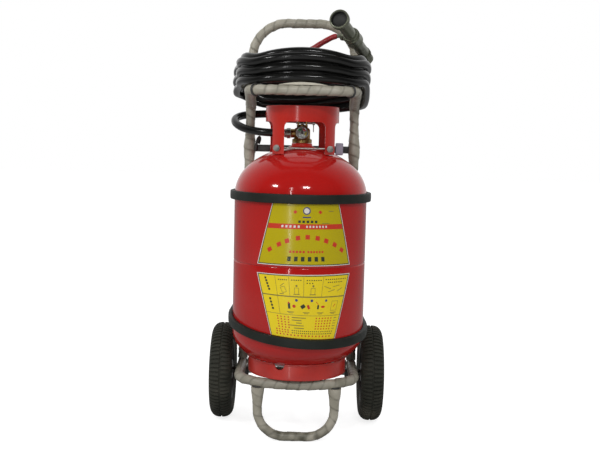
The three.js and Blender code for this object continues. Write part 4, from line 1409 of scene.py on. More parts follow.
@dataclass
class Cylinder:
    """The pressed and welded cylinder, with its neck, foot ring and what it holds."""

    radius: float = 145
    wall: float = 3
    low: float = 228
    high: float = 531
    seam: float = 386
    top_rise: float = 103
    low_rise: float = 80
    neck: float = 15
    turn: float = radians(5)

    def dome(
        self, radius: float, rim: float, rise: float, pole: float, steps: int = 26,
    ) -> list[tuple[float, float]]:
        """An elliptical end from its rim to its pole, as radius and height."""
        last = acos(pole / radius)
        return [
            (radius * cos(last * index / steps), rim + rise * sin(last * index / steps))
            for index in range(steps + 1)
        ]

    def build(self) -> None:
        """Makes the cylinder's pieces."""
        place = at(0, 0, 0)
        inner = self.radius - self.wall
        lip = 0.15
        upper = turned("upper_shell_steel", [
            (inner, self.seam + lip), (self.radius - 0.9, self.seam + lip),
            (self.radius - 0.2, self.seam + 1.2),
            (self.radius, self.seam + 3), (self.radius, (self.seam + self.high) / 2),
            *self.dome(self.radius, self.high, self.top_rise, self.neck),
            *reversed(self.dome(inner, self.high, self.top_rise - self.wall, self.neck)),
        ], place, segments=128)
        dress(upper, Finishes.ENAMEL, "red_enamel", "upper_shell", smooth=50)
        low_outer = self.dome(self.radius, self.low, -self.low_rise, 0.0)
        low_inner = self.dome(inner, self.low, self.wall - self.low_rise, 0.0)
        lower = turned("lower_shell_steel", [
            *reversed(low_outer), (self.radius, (self.low + self.seam) / 2), (self.radius, self.seam - 3),
            (self.radius - 0.3, self.seam - 1.2), (self.radius - 0.9, self.seam - lip),
            (inner, self.seam - lip),
            *low_inner,
        ], place, segments=128)
        dress(lower, Finishes.ENAMEL, "red_enamel", "lower_shell", smooth=50)
        self.neck_boss()
        self.foot_ring()
        self.contents()

    def neck_boss(self) -> None:
        """Makes the threaded boss, flared into the dome with its weld."""
        boss = turned("neck_boss_steel", [
            (15, 633.9), (29.5, 632.2), (30.5, 633.4), (28.5, 635), (25, 636), (23.2, 637.4), (22.5, 639),
            (22.5, 641.6), (21.6, 642.6), (15, 642.6),
        ], segments=64)
        dress(boss, Finishes.GUARD, "red_enamel", "neck_boss")

    def foot_ring(self) -> None:
        """Makes the foot ring with its half-round vent and the weld under the dome."""
        ring = turned("foot_ring_steel", [
            (105, 139.6), (108, 139.6), (108.4, 141), (108, 143), (108, 171.4), (105, 171.4), (105, 143),
        ], segments=128)
        angle = radians(-20)
        vent = rod("vent", LAYOUT.around(angle, 90, 172), LAYOUT.around(angle, 125, 172), 11, 32)
        carve(ring, [vent])
        bevel(ring, 0.4, 2, 40)
        dress(ring, Finishes.FOOT, "red_enamel", "foot_ring")
        gap_low, gap_high = angle - 0.12, angle + 0.12
        route = []
        for index in range(121):
            turn = gap_high + (2 * pi - (gap_high - gap_low)) * index / 120
            route.append(
                LAYOUT.around(turn, 108.4 + 0.3 * sin(41 * turn), 172.7 + 0.3 * sin(29 * turn))
            )
        bead = skin("foot_ring_weld", circle_rings(
            route, lambda index, angle: 1.7 + 0.35 * sin(index * 2.1), 8,
        ))
        dress(bead, Finishes.FOOT, "red_enamel")

    def contents(self) -> None:
        """Dresses the liquid, which no outside view reaches."""
        liquid = bpy.data.objects["liquid_charge"]
        for slot in liquid.material_slots:
            slot.material = Finishes.LIQUID.material()


# --- valve guard


@dataclass
class Guard:
    """The sheet-steel collar round the valve, and the bolts that tie it to the trolley."""

    radius: float = 80
    wall: float = 3
    low: float = 619.3
    high: float = 722
    band: float = 688
    leg: float = 33
    corner: float = 12
    turn: float = radians(5)
    bolt_z: float = 631.5
    bolts: tuple[tuple[str, float, float], ...] = (("left", -54, -64.4), ("right", 60.5, -59.2))

    def build(self) -> None:
        """Makes the guard, its fasteners, the cross bar and the tie rod."""
        self.collar()
        self.fasteners()
        self.cross_bar()

    def collar(self) -> None:
        """Turns the collar and cuts its four windows."""
        inner = self.radius - self.wall
        collar = turned("valve_guard_sheet", [
            (inner, self.low), (self.radius, self.low), (self.radius, 640), (self.radius, 664),
            (self.radius, self.band), (self.radius, self.high - 4), (self.radius + 0.5, self.high - 1),
            (self.radius - 0.6, self.high), (inner + 0.6, self.high), (inner, self.high - 1),
            (inner, self.band),
            (inner, 664), (inner, 640),
        ], segments=160)
        half_leg = asin(self.leg / 2 / self.radius)
        half = self.radius * sin(pi / 4 - half_leg)
        tools = []
        for quarter in range(4):
            angle = self.turn + quarter * pi / 2
            tool = block(
                f"window_{quarter}", Vector((-half, -110, self.low - 30)) * MM,
                Vector((half, -30, self.band)) * MM, 0.01,
            )
            self.round_top(tool, half)
            tool.rotation_euler = (0, 0, angle)
            tool.location = at(0, 0, 0)
            settle(tool)
            tools.append(tool)
        for _, x, _ in self.bolts:
            tools.append(rod("hole", at(x, -100, self.bolt_z), at(x, 100, self.bolt_z), 3.5, 24))
        carve(collar, tools)
        bevel(collar, 0.5, 2, 40)
        dress(collar, Finishes.GUARD, "red_enamel", "valve_guard", smooth=32)

    def round_top(self, tool: Piece, half: float) -> None:
        """Rounds the two upper edges of a window's cutter, which run front to back."""
        pick(tool)
        bpy.ops.object.mode_set(mode="EDIT")
        bpy.ops.mesh.select_all(action="SELECT")
        bpy.ops.mesh.remove_doubles(threshold=0.05 * MM)
        bpy.ops.mesh.select_all(action="DESELECT")
        bpy.ops.object.mode_set(mode="OBJECT")
        corners = tool.data.vertices
        for edge in tool.data.edges:
            ends = [corners[index].co for index in edge.vertices]
            at_top = all(end.z > (self.band - 1) * MM for end in ends)
            along = abs(ends[0].x - ends[1].x) < 1 * MM and abs(ends[0].y - ends[1].y) > 10 * MM
            edge.select = at_top and along and abs(abs(ends[0].x) - half * MM) < 1 * MM
        bpy.ops.object.mode_set(mode="EDIT")
        bpy.ops.mesh.select_mode(type="EDGE")
        bpy.ops.mesh.bevel(offset=self.corner * MM, segments=8, affect="EDGES")
        bpy.ops.mesh.select_mode(type="VERT")
        bpy.ops.object.mode_set(mode="OBJECT")

    def fasteners(self) -> None:
        """Makes the two long bolts with their washers and nuts."""
        back = 99
        for side, x, front in self.bolts:
            shank = rod(
                f"{side}_guard_bolt_shank", at(x, front - 0.5, self.bolt_z), at(x, back + 9, self.bolt_z),
                3.1, 24, 0.4,
            )
            head = rod(
                f"{side}_bolt_head", at(x, front - 5, self.bolt_z), at(x, front - 0.9, self.bolt_z), 6, 6,
                0.6,
            )
            washer = rod(
                f"{side}_bolt_washer", at(x, front - 1, self.bolt_z), at(x, front, self.bolt_z), 7, 32, 0.2,
            )
            bolt = joined(f"{side}_guard_bolt_steel", [shank, head, washer])
            dress(bolt, Finishes.DULL_STEEL, "bright_steel", f"{side}_guard_bolt")
            nut = rod(
                f"{side}_guard_nut_steel", at(x, back + 0.3, self.bolt_z), at(x, back + 6.3, self.bolt_z),
                6, 6, 0.6,
            )
            dress(nut, Finishes.DULL_STEEL, "bright_steel", f"{side}_guard_nut")

    def cross_bar(self) -> None:
        """Makes the black bar behind the neck, the tie rod, the lilac sleeve and the black tie."""
        bar = block("cross_bar_flat", at(-108.7, 92, 621.5), at(108.7, 99, 637.5), 1.2, 3)
        dress(bar, Finishes.BLACK_STEEL, "black_steel", "neck_cross_bar")
        left, right = self.bolts[0][1], self.bolts[1][1]
        tie = rod(
            "neck_tie_bar", at(left + 3.3, -46, self.bolt_z), at(right - 3.3, -46, self.bolt_z), 2.25, 20,
        )
        dress(tie, Finishes.STEEL, "bright_steel", "neck_tie_rod")
        sleeve = block("lilac_sleeve", at(77, 90.2, 617), at(95, 100.6, 645), 3, 4)
        modify(sleeve, "SUBSURF", levels=1, render_levels=1)
        dress(sleeve, Finishes.LILAC, "lilac_plastic", "cross_bar_sleeve")
        tie_route = through([
            at(-106, 87, 622), at(-104, 86, 636), at(-101, 87, 650), at(-97, 90, 655),
            at(-96, 96, 650), at(-99, 102, 640),
        ])
        strap = skin(
            "black_tie",
            circle_rings(evenly(tie_route, 1.5), lambda index, angle: 2.2 + 0.8 * abs(cos(angle)), 12),
        )
        dress(strap, Finishes.BLACK_STEEL, "black_steel")


# --- running gear


@dataclass
class Wheel:
    """A solid rubber tyre with two staggered rows of lugs, on a dished hub."""

    side: str
    sign: int
    centre_x: float = 172
    axle_y: float = 100
    radius: float = 110
    lugs: int = 72
    depth: float = 3.4
    profile: tuple[tuple[float, float, int], ...] = (
        (72, 22, 0), (74, 23, 0), (80, 24.6, 0), (87, 25.7, 0), (90, 25.9, 0), (92, 25.2, 0), (94, 25.4, 0),
        (98, 23.9, 0), (101.5, 21.6, 0), (102.2, 21.2, 1), (104.8, 18.6, 1), (107.2, 15.2, 1),
        (108.8, 11.5, 1),
        (109.7, 7, 1), (110, 2.4, 1), (109.6, 1.9, 1), (106.8, 1.4, 0),
    )

    def lug(self, turn: float, row: int) -> float:
        """How far the tread stands up at one place round the tyre, from 0 in a gap to 1 on a lug."""
        share = (turn * self.lugs / (2 * pi) + 0.5 * row) % 1.0
        return 1.0 if 0.19 < share < 0.81 else 0.0

    def build(self) -> None:
        """Makes the tyre and the hub."""
        body = Body.LEFT_WHEEL if self.sign < 0 else Body.RIGHT_WHEEL
        self.tyre(body)
        self.hub(body)

    def tyre(self, body: Body) -> None:
        """Makes the tyre: one section at each lug edge, joined round."""
        pitch = 2 * pi / self.lugs
        edges = (0.16, 0.22, 0.28, 0.34, 0.5, 0.66, 0.72, 0.78, 0.84, 1.0)
        section = [(radius, -x, tread, 0) for radius, x, tread in self.profile]
        section += [(radius, x, tread, 1) for radius, x, tread in reversed(self.profile)]
        rings = []
        for lug in range(self.lugs):
            for share in edges:
                turn = (lug + share) * pitch
                ring = []
                for radius, x, tread, row in section:
                    lowered = radius - self.depth * tread * (
                        1 - self.lug(turn, row)
                    ) * ease(radius, 100, 105)
                    scuff = 0.25 * noise.noise(Vector((cos(turn), sin(turn), x / 60)) * 9) * tread
                    place = (lowered + scuff) * cos(turn), (lowered + scuff) * sin(turn)
                    ring.append(
                        at(self.sign * self.centre_x + x, self.axle_y + place[0], self.radius + place[1])
                    )
                rings.append(ring)
        tyre = skin(f"{self.side}_tyre_rubber", rings, closed=True)
        dress(tyre, Finishes.TYRE, "tyre_rubber", f"{self.side}_tyre", body=body, smooth=28)

    def hub(self, body: Body) -> None:
        """Makes the hub with its web, its rim and six ribs on each face."""
        centre = at(self.sign * self.centre_x, self.axle_y, self.radius)
        hub = turned(f"{self.side}_wheel_hub_steel", [
            (8.15, -21.4), (20.5, -21.4), (22, -20), (24.5, -9), (28, -7), (58, -7), (62.5, -9),
            (63.7, -20),
            (64.5, -21.4), (71, -21.4), (71.7, -20.6), (71.7, 20.6), (71, 21.4), (64.5, 21.4), (63.7, 20),
            (62.5, 9), (58, 7), (28, 7), (24.5, 9), (22, 20), (20.5, 21.4), (8.15, 21.4),
        ], centre, Vector((1, 0, 0)), 96)
        ribs = [hub]
        for index in range(6):
            turn = 2 * pi * index / 6
            spoke = Vector((0, cos(turn), sin(turn)))
            for face in (-1, 1):
                side = Vector((face * 9.5 * MM, 0, 0))
                rib = rod("rib", centre + side + spoke * 0.023, centre + side + spoke * 0.0625, 3.2, 12)
                ribs.append(rib)
        hub = joined(f"{self.side}_wheel_hub_steel", ribs)
        dress(hub, Finishes.HUB, "black_steel", f"{self.side}_wheel_hub", body=body)


@dataclass
class RunningGear:
    """The axle with its saddles and caps, and the two wheels."""

    axle_y: float = 100
    axle_z: float = 110
    half: float = 194
    rail_x: float = 127

    def build(self) -> None:
        """Makes the running gear."""
        ends = [at(sign * self.half, self.axle_y, self.axle_z) for sign in (-1, 1)]
        axle = rod("axle_bar", *ends, 7.95, 48, 0.6)
        dress(axle, Finishes.STEEL, "bright_steel", "axle")
        for side, sign in (("left", -1), ("right", 1)):
            low = at(sign * self.rail_x - 14, self.axle_y - 17, 94)
            high = at(sign * self.rail_x + 14, self.axle_y + 17, 118.4)
            saddle = block(f"{side}_saddle_steel", low, high, 3, 3)
            bore = [at(sign * self.rail_x + x, self.axle_y, self.axle_z) for x in (-40, 40)]
            carve(saddle, [rod("bore", *bore, 8.4, 48)])
            dress(saddle, Finishes.BLACK_STEEL, "black_steel", f"{side}_axle_saddle")
            cap = turned(f"{side}_cap_steel", [
                (0, 0), (16.6, 0), (17, 0.6), (17, 3.4), (16.2, 4.2), (12.6, 5.8), (11, 6.7), (8, 7),
                (0, 7),
            ], at(sign * (self.half + 0.3), self.axle_y, self.axle_z), Vector((sign, 0, 0)))
            dress(cap, Finishes.STEEL, "bright_steel", f"{side}_axle_cap")
            Wheel(side, sign).build()


# --- valve


@dataclass
class Valve:
    """The brass valve: body, stem and spring, lever, pins, outlet and dip tube."""

    pivot_z: float = 697
    outlet_z: float = 664
    gauge_z: float = 665
    ear_x: float = 7
    ear_thick: float = 4
    reach: float = 64
    safety_y: float = -11
    safety_z: float = 686

    def build(self) -> None:
        """Makes the valve's pieces."""
        self.body()
        self.stem()
        self.lever()
        self.pins()
        self.coupling()
        self.dip_tube()

    def body(self) -> None:
        """Makes the body with its flange, its threads, the outlet hub, the gauge neck and the ears."""
        threads = []
        for index in range(10):
            threads += [(13, 613.5 + 2.8 * index), (12.2, 614.9 + 2.8 * index)]
        body = turned("valve_core", [
            (4.2, 640), (9, 640), (9, 612.2), (12.4, 612.2), *threads, (13, 642.9), (20.6, 642.9),
            (21.5, 643.8),
            (21.5, 650.6), (20.8, 651.6), (18.6, 652), (17.5, 653.4), (17.5, 671), (16.8, 673), (15, 675.6),
            (12.8, 676), (12, 677), (12, 682.4), (11.4, 683), (4.2, 683),
        ])
        hub = rod("outlet_hub", at(-10, 0, self.outlet_z), at(-25, 0, self.outlet_z), 9.5, 40, 0.5)
        neck = rod("gauge_neck", at(0, -10, self.gauge_z), at(0, -20, self.gauge_z), 6, 32, 0.4)
        flats = rod("gauge_flats", at(0, -15.5, self.gauge_z), at(0, -19, self.gauge_z), 6, 6, 0.4)
        parts = [body, hub, neck, flats]
        for sign in (-1, 1):
            xs = sorted((sign * self.ear_x, sign * (self.ear_x + self.ear_thick)))
            ear = block("ear", at(xs[0], -14, 680), at(xs[1], 10, 705), 1.3, 3)
            reach = (at(-30, 0, self.pivot_z), at(30, 0, self.pivot_z))
            safety = (at(-30, self.safety_y, self.safety_z), at(30, self.safety_y, self.safety_z))
            carve(ear, [rod("way", *reach, 3.1, 28), rod("way", *safety, 2.1, 24)])
            parts.append(ear)
        whole = joined("valve_body_brass", parts)
        dress(whole, Finishes.BRASS, "brass", "valve_body")

    def stem(self) -> None:
        """Makes the stem with its plug, and the spring under it."""
        stem = turned("valve_stem_steel", [
            (0, 631), (7, 631), (7.5, 631.5), (7.5, 637), (7, 637.8), (3.6, 639.6), (3.6, 686.6),
            (2.9, 687.5),
            (0, 687.5),
        ], segments=40)
        dress(stem, Finishes.STEEL, "bright_steel", "valve_stem", body=Body.STEM)
        route = []
        for index in range(161):
            turn = index / 160 * 4 * 2 * pi
            route.append(at(7.5 * cos(turn), 7.5 * sin(turn), 614.5 + 15.3 * index / 160))
        spring = skin("stem_spring_wire", circle_rings(route, lambda index, angle: 0.7, 10))
        dress(spring, Finishes.STEEL, "bright_steel", "stem_spring")

    def cam(self) -> list[tuple[float, float]]:
        """The lever seen from its right side: a spiral cam under the pivot, and the arm behind it."""
        line = []
        for index in range(25):
            turn = index / 24 * pi / 2
            radius = 9 + 4 * index / 24
            line.append((-radius * sin(turn), -radius * cos(turn)))
        line += [(-12.4, 3), (-10.6, 6), (-7.5, 8.2), (-3.6, 9), (4, 8.7), (11, 7), (self.reach * 0.3, 6)]
        line += [(self.reach, 6), (self.reach + 2.1, 5.1), (self.reach + 3, 3), (self.reach + 2.1, 0.9)]
        line += [(self.reach, 0.1), (14, 0), (12, -0.4), (9.6, -2.6), (5.2, -7)]
        return line

    def lever(self) -> None:
        """Makes the lever, pressed and painted, on its pivot."""
        half = self.ear_x - 0.4
        rings = []
        for x in (-half, half):
            rings.append([at(x, y, self.pivot_z + z) for y, z in self.cam()])
        lever = skin("valve_lever_pressing", rings)
        way = rod("way", at(-20, 0, self.pivot_z), at(20, 0, self.pivot_z), 3.1, 32)
        carve(lever, [way])
        bevel(lever, 0.8, 3, 50)
        dress(lever, Finishes.GUARD, "red_lever", "valve_lever", body=Body.MAIN_LEVER)

    def pins(self) -> None:
        """Makes the lever's pin, the safety pin with its eye, and the pull ring."""
        end = self.ear_x + self.ear_thick + 2
        pin = rod("lever_pin_steel", at(-end, 0, self.pivot_z), at(end, 0, self.pivot_z), 2.9, 28, 0.5)
        dress(pin, Finishes.STEEL, "bright_steel", "lever_pin")
        y, z, stop = self.safety_y, self.safety_z, 21
        shank = rod("safety_shank", at(-14, y, z), at(stop, y, z), 1.9, 24, 0.6)
        eye = ring_wire("safety_eye", at(stop + 3.4, y, z), Vector((0, 1, 0)), 2.85, 1.13)
        safety = joined("safety_pin_wire", [shank, eye])
        dress(safety, Finishes.STEEL, "bright_steel", "safety_pin", body=Body.PIN)
        pull = ring_wire("pull_ring_wire", at(stop + 3.4, y, z - 9), Vector((1, 0, 0)), 9, 0.9)
        dress(pull, Finishes.STEEL, "bright_steel", "pull_ring", body=Body.PIN)

    def coupling(self) -> None:
        """Makes the outlet's coupling nut and the ferrule behind it."""
        outer = turned("outlet_ferrule", [
            (5, 0), (10.6, 0), (11.3, 0.7), (11.3, 7.3), (10.6, 8), (9.7, 8), (9.7, 9), (9.3, 9.3),
            (9.3, 10),
            (9.7, 10.3), (9.7, 11.2), (9.3, 11.5), (9.3, 12), (9, 12.7), (5, 12.7),
        ], at(-25.3, 0, self.outlet_z), Vector((-1, 0, 0)))
        dress(outer, Finishes.STEEL, "bright_steel", "outlet_coupling")

    def dip_tube(self) -> None:
        """Makes the siphon tube and the strainer at its foot, inside the cylinder."""
        tube = turned("siphon_pipe", [
            (7.4, 190), (8.6, 190), (8.6, 613.6), (7.4, 613.6),
        ], segments=40)
        dress(tube, Finishes.POLYMER, "white_plastic", "siphon_tube")
        strainer = turned("strainer_cup", [
            (0, 170), (10, 170), (11, 174), (11, 200), (8.9, 200), (8.9, 189.7), (0, 189.7),
        ], segments=40)
        dress(strainer, Finishes.POLYMER, "white_plastic", "strainer")


# --- gauge


@dataclass
class Gauge:
    """The pressure gauge, with a coloured dial, a needle and a window."""

    z: float = 665
    back: float = -20.3
    radius: float = 13.75
    rim: float = 11.9

    def place(self, out: float = 0, across: float = 0, up: float = 0) -> Vector:
        """A place on the gauge: millimetres out of its back, to its right and up."""
        return at(across, self.back - out, self.z + up)

    def build(self) -> None:
        """Makes the gauge."""
        front = Vector((0, -1, 0))
        case = turned("gauge_case_steel", [
            (0, 0), (6, 0), (9, 1.2), (12.6, 2.2), (13.5, 3.2), (13.75, 4.2), (13.75, 9.6), (13.4, 10.6),
            (12.8, 11),
            (12.3, 11), (11.9, 10.5), (11.9, 4), (0, 4),
        ], self.place(), front, 96)
        dress(case, Finishes.STEEL, "bright_steel", "gauge_case")
        dial = turned(
            "gauge_dial_face", [(0, 4.3), (11.6, 4.3), (11.6, 5.2), (0, 5.2)], self.place(), front, 64,
        )
        dress(dial, Finishes.DIAL, "white_plastic", "gauge_dial")
        for name, finish, start, stop in (
            ("dial_ready", Finishes.DIAL_GREEN, -62, -4), ("dial_low", Finishes.DIAL_RED, 0, 62),
            ("dial_high", Finishes.DIAL_YELLOW, 70, 130),
        ):
            dress(self.sector(name, start, stop, 5.2, 10.2), finish, "white_plastic")
        self.ticks()
        self.needle()
        lens = turned(
            "gauge_window", [(0, 8.6), (11.6, 8.6), (11.6, 10), (6, 10.3), (0, 10.4)], self.place(), front,
            64,
        )
        dress(lens, Finishes.WINDOW, "clear_lens", "gauge_lens")

    def sector(self, name: str, start: float, stop: float, inner: float, outer: float) -> Piece:
        """A thin coloured field of the dial between two angles, in degrees from the top."""
        rings = []
        steps = max(2, round(abs(stop - start) / 4))
        for index in range(steps + 1):
            turn = radians(start + (stop - start) * index / steps)
            ring = []
            for out, radius in ((5.15, inner), (5.15, outer), (5.3, outer), (5.3, inner)):
                ring.append(self.place(out, radius * sin(turn), radius * cos(turn)))
            rings.append(ring)
        return skin(name, rings)

    def ticks(self) -> None:
        """Makes the dial's scale marks."""
        marks = []
        for index in range(13):
            turn = -120 + 20 * index
            long = index % 3 == 0
            marks.append(self.sector(f"tick_{index}", turn - 1.6, turn + 1.6, 9.4 if long else 10.3, 11.2))
        whole = joined("dial_marks", marks)
        dress(whole, Finishes.NEEDLE, "white_plastic")

    def needle(self) -> None:
        """Makes the needle with its boss."""
        tip = [(-1, -3), (1, -3), (0.35, 8.5), (-0.35, 8.5)]
        rings = [[self.place(out, x, z) for x, z in tip] for out in (6.2, 6.8)]
        blade = skin("needle_blade", rings)
        boss = turned("needle_boss", [(0, 5.6), (1.8, 5.6), (1.8, 6.9), (1.5, 7.2), (0, 7.2)], self.place(),
                      Vector((0, -1, 0)), 32)
        whole = joined("gauge_needle_blade", [blade, boss])
        dress(whole, Finishes.NEEDLE, "needle_black", "gauge_needle", body=Body.NEEDLE)


# --- nozzle


@dataclass
class Nozzle:
    """The discharge nozzle with its ball valve and handle, lying across the top of the coil."""

    PIECES = (
        "tail_fitting_alloy", "ball_valve_alloy", "valve_ball_steel", "nozzle_barrel_alloy",
        "nozzle_mouth_alloy",
        "nozzle_lever_bar", "lever_grip_vinyl", "mouth_lining",
    )
    tail: tuple[float, float, float] = (145, 75, 835)
    heading: tuple[float, float, float] = (-0.307, -0.924, 0.227)
    stem_heading: tuple[float, float, float] = (-0.913369, 0.353212, 0.202482)
    ball_at: float = 138
    stem_top: float = 19.5
    grip_route: tuple[tuple[float, float, float], ...] = (
        (64, -39.5, 870), (42, -36, 859), (21, -33, 846), (0, -28, 834),
    )

    @property
    def forward(self) -> Vector:
        """The direction from the tail to the mouth."""
        return Vector(self.heading).normalized()

    @property
    def stem_way(self) -> Vector:
        """The direction of the ball valve's stem."""
        return Vector(self.stem_heading).normalized()

    def along(self, distance: float) -> Vector:
        """A place on the nozzle's axis, in millimetres from its tail."""
        return at(*self.tail) + self.forward * distance * MM

    def turned(self, name: str, outline: Outline, segments: int = ROUND) -> Piece:
        """Turns an outline round the nozzle's axis, heights counted from its tail."""
        return turned(name, outline, self.along(0), self.forward, segments)

    def dress(self, obj: Piece, node: str, body: Body = Body.TROLLEY) -> None:
        """Gives a piece the alloy finish and its place."""
        dress(obj, Finishes.OLIVE, "nozzle_metal", node, body=body)

    def build(self) -> None:
        """Makes the nozzle's pieces."""
        fitting = self.turned("tail_fitting_alloy", [
            (6, 0), (11, 0), (11.7, 0.7), (11.9, 3), (11.3, 3.6), (11.3, 8), (12, 8.6), (12, 14),
            (11.3, 14.6),
            (11.3, 19), (12, 19.6), (12, 30), (13.6, 31), (14.5, 32.4), (14.5, 43), (13.8, 44), (6, 44),
        ])
        self.dress(fitting, "hose_tail_fitting")
        self.valve_body()
        self.ball()
        barrel = self.turned("nozzle_barrel_alloy", [
            (6.5, 164.3), (12.2, 164.3), (13, 165.2), (13, 226), (12.6, 228), (13, 230), (13, 235.2),
            (12.2, 236),
            (6.5, 236),
        ])
        self.dress(barrel, "nozzle_barrel")
        mouth = self.turned("nozzle_mouth_alloy", [
            (9, 236.3), (16.4, 236.3), (17.6, 236.9), (19.2, 238.6), (20, 240), (20, 249.6), (19.4, 250.6),
            (18.6, 251),
            (16.9, 251), (16.3, 250.3), (15.8, 240.5), (13.5, 238.6), (9, 237.9),
        ])
        self.dress(mouth, "nozzle_mouth")
        # Painted shade: a thin dark sheet inside the mouth, standing in for the shade that falls there.
        shade_sheet = self.turned("mouth_lining", [
            (16.1, 249.6), (15.6, 249.6), (15.1, 241.2), (13, 239.4), (0, 238.8), (0, 237.4), (6.4, 237.4),
            (9.2, 238.1),
            (13.6, 238.8), (15.7, 240.6),
        ])
        dress(shade_sheet, Finishes.BORE, "nozzle_metal")
        self.lever()

    def valve_body(self) -> None:
        """Makes the ball valve's body, bored for its stem."""
        body = self.turned("ball_valve_alloy", [
            (7.5, 44.3), (12.4, 44.3), (13, 45.2), (13, 108), (13.4, 110.6), (15.5, 112.8), (15.5, 119.4),
            (16.6, 120.6),
            (18, 122.4), (18, 126), (17.6, 127), (17.6, 149), (18, 150), (18, 153.4), (17, 155),
            (15.5, 156),
            (15.5, 162.8), (14.8, 164), (7.5, 164), (7.5, 146.7), (11.6, 145), (11.6, 131), (7.5, 129.3),
        ], 80)
        centre = self.along(self.ball_at)
        carve(body, [rod("way", centre, centre + self.stem_way * 0.03, 4.3, 40)])
        self.dress(body, "ball_valve_body")

    def ball(self) -> None:
        """Makes the ball with its bore and stem."""
        centre = self.along(self.ball_at)
        deselect()
        bpy.ops.mesh.primitive_uv_sphere_add(segments=48, ring_count=24, radius=10.8 * MM, location=centre)
        ball = bpy.context.active_object
        ball.name = "valve_ball_steel"
        settle(ball)
        stem = rod(
            "ball_stem", centre + self.stem_way * 0.006, centre + self.stem_way * self.stem_top * MM, 4,
            32, 0.4,
        )
        across = self.stem_way.cross(self.forward)
        carve(ball, [rod("bore", centre - across * 0.02, centre + across * 0.02, 6.5, 32)])
        ball = joined("valve_ball_steel", [ball, stem])
        dress(ball, Finishes.STEEL, "bright_steel", "valve_ball", body=Body.NOZZLE_HANDLE)

    def lever(self) -> None:
        """Makes the handle: a boss on the stem, a bent bar and its vinyl grip."""
        base = self.along(self.ball_at) + self.stem_way * (self.stem_top + 0.3) * MM
        boss = turned("handle_boss", [
            (0, 0), (9, 0), (9.5, 0.5), (9.5, 5.6), (8.6, 7), (7.4, 8), (0, 8),
        ], base, self.stem_way, 40)
        root = base + self.stem_way * 4 * MM
        curve = through([root, *(at(*place) for place in self.grip_route)], 16)
        bar_line = evenly(curve[: round(len(curve) * 0.95)], 2)
        bar = skin("handle_bar", circle_rings(bar_line, lambda index, angle: 4.0, 20))
        lever = joined("nozzle_lever_bar", [boss, bar])
        self.dress(lever, "nozzle_lever", Body.NOZZLE_HANDLE)
        start = round(len(curve) * 0.17)
        line = evenly(curve[start:], 1.5)
        last = len(line) - 1

        def radius(index: int, angle: float) -> float:
            """The grip's radius: rounded at both ends, with faint finger swells."""
            run = index / last
            near_end = min(index, last - index) * 1.5
            round_end = sqrt(max(0.0, 1 - max(0.0, 1 - near_end / 5) ** 2))
            swell = 0.25 * sin(run * 26) + 0.12 * noise.noise(line[index] * 80)
            return 4.3 + 1.5 * round_end + 0.5 * swell * round_end

        grip = skin("lever_grip_vinyl", circle_rings(line, radius, 28))
        dress(grip, Finishes.VINYL, "red_vinyl", "lever_grip", body=Body.NOZZLE_HANDLE)


# --- labels


@dataclass
class LabelSheet:
    """A label bent round the cylinder, with places given across it (-1 to 1) and up it (0 to 1)."""

    name: str
    half_low: float
    half_high: float
    low: Callable[[float, float], float]
    high: float
    radius: float = 145
    turn: float = radians(5)

    def half_angle(self, up: float) -> float:
        """Half the label's width at a height, in radians."""
        return radians(self.half_low + (self.half_high - self.half_low) * up)

    def span(self, up: float) -> tuple[float, float]:
        """Half the label's width at a height, and its height in front, in millimetres."""
        return self.radius * self.half_angle(up), self.high - self.low(0, -self.radius)

    def place(self, across: float, up: float, lift: float) -> Vector:
        """A place on the label, lifted from the cylinder by some millimetres."""
        angle = self.turn + across * self.half_angle(up)
        x, y = self.radius * sin(angle), -self.radius * cos(angle)
        low = self.low(x, y)
        return LAYOUT.around(angle, self.radius + lift, low + (self.high - low) * up)

    def sheet(self, name: str, inset: float, lift_low: float, lift_high: float) -> Piece:
        """The whole label as a thin sheet, held back by an inset in millimetres except beside the band."""
        side = inset / (self.radius * self.half_angle(0.5))
        end = inset / (self.high - self.low(0, -self.radius))
        start, stop = (0.0, 1 - end) if self.half_low < self.half_high else (end, 1.0)
        rings = []
        for index in range(41):
            across = (1 - side) * (index / 20 - 1)
            ups = [start + (stop - start) * step / 8 for step in range(9)]
            ring = [self.place(across, up, lift_low) for up in ups]
            ring += [self.place(across, up, lift_high) for up in reversed(ups)]
            rings.append(ring)
        return skin(name, rings)


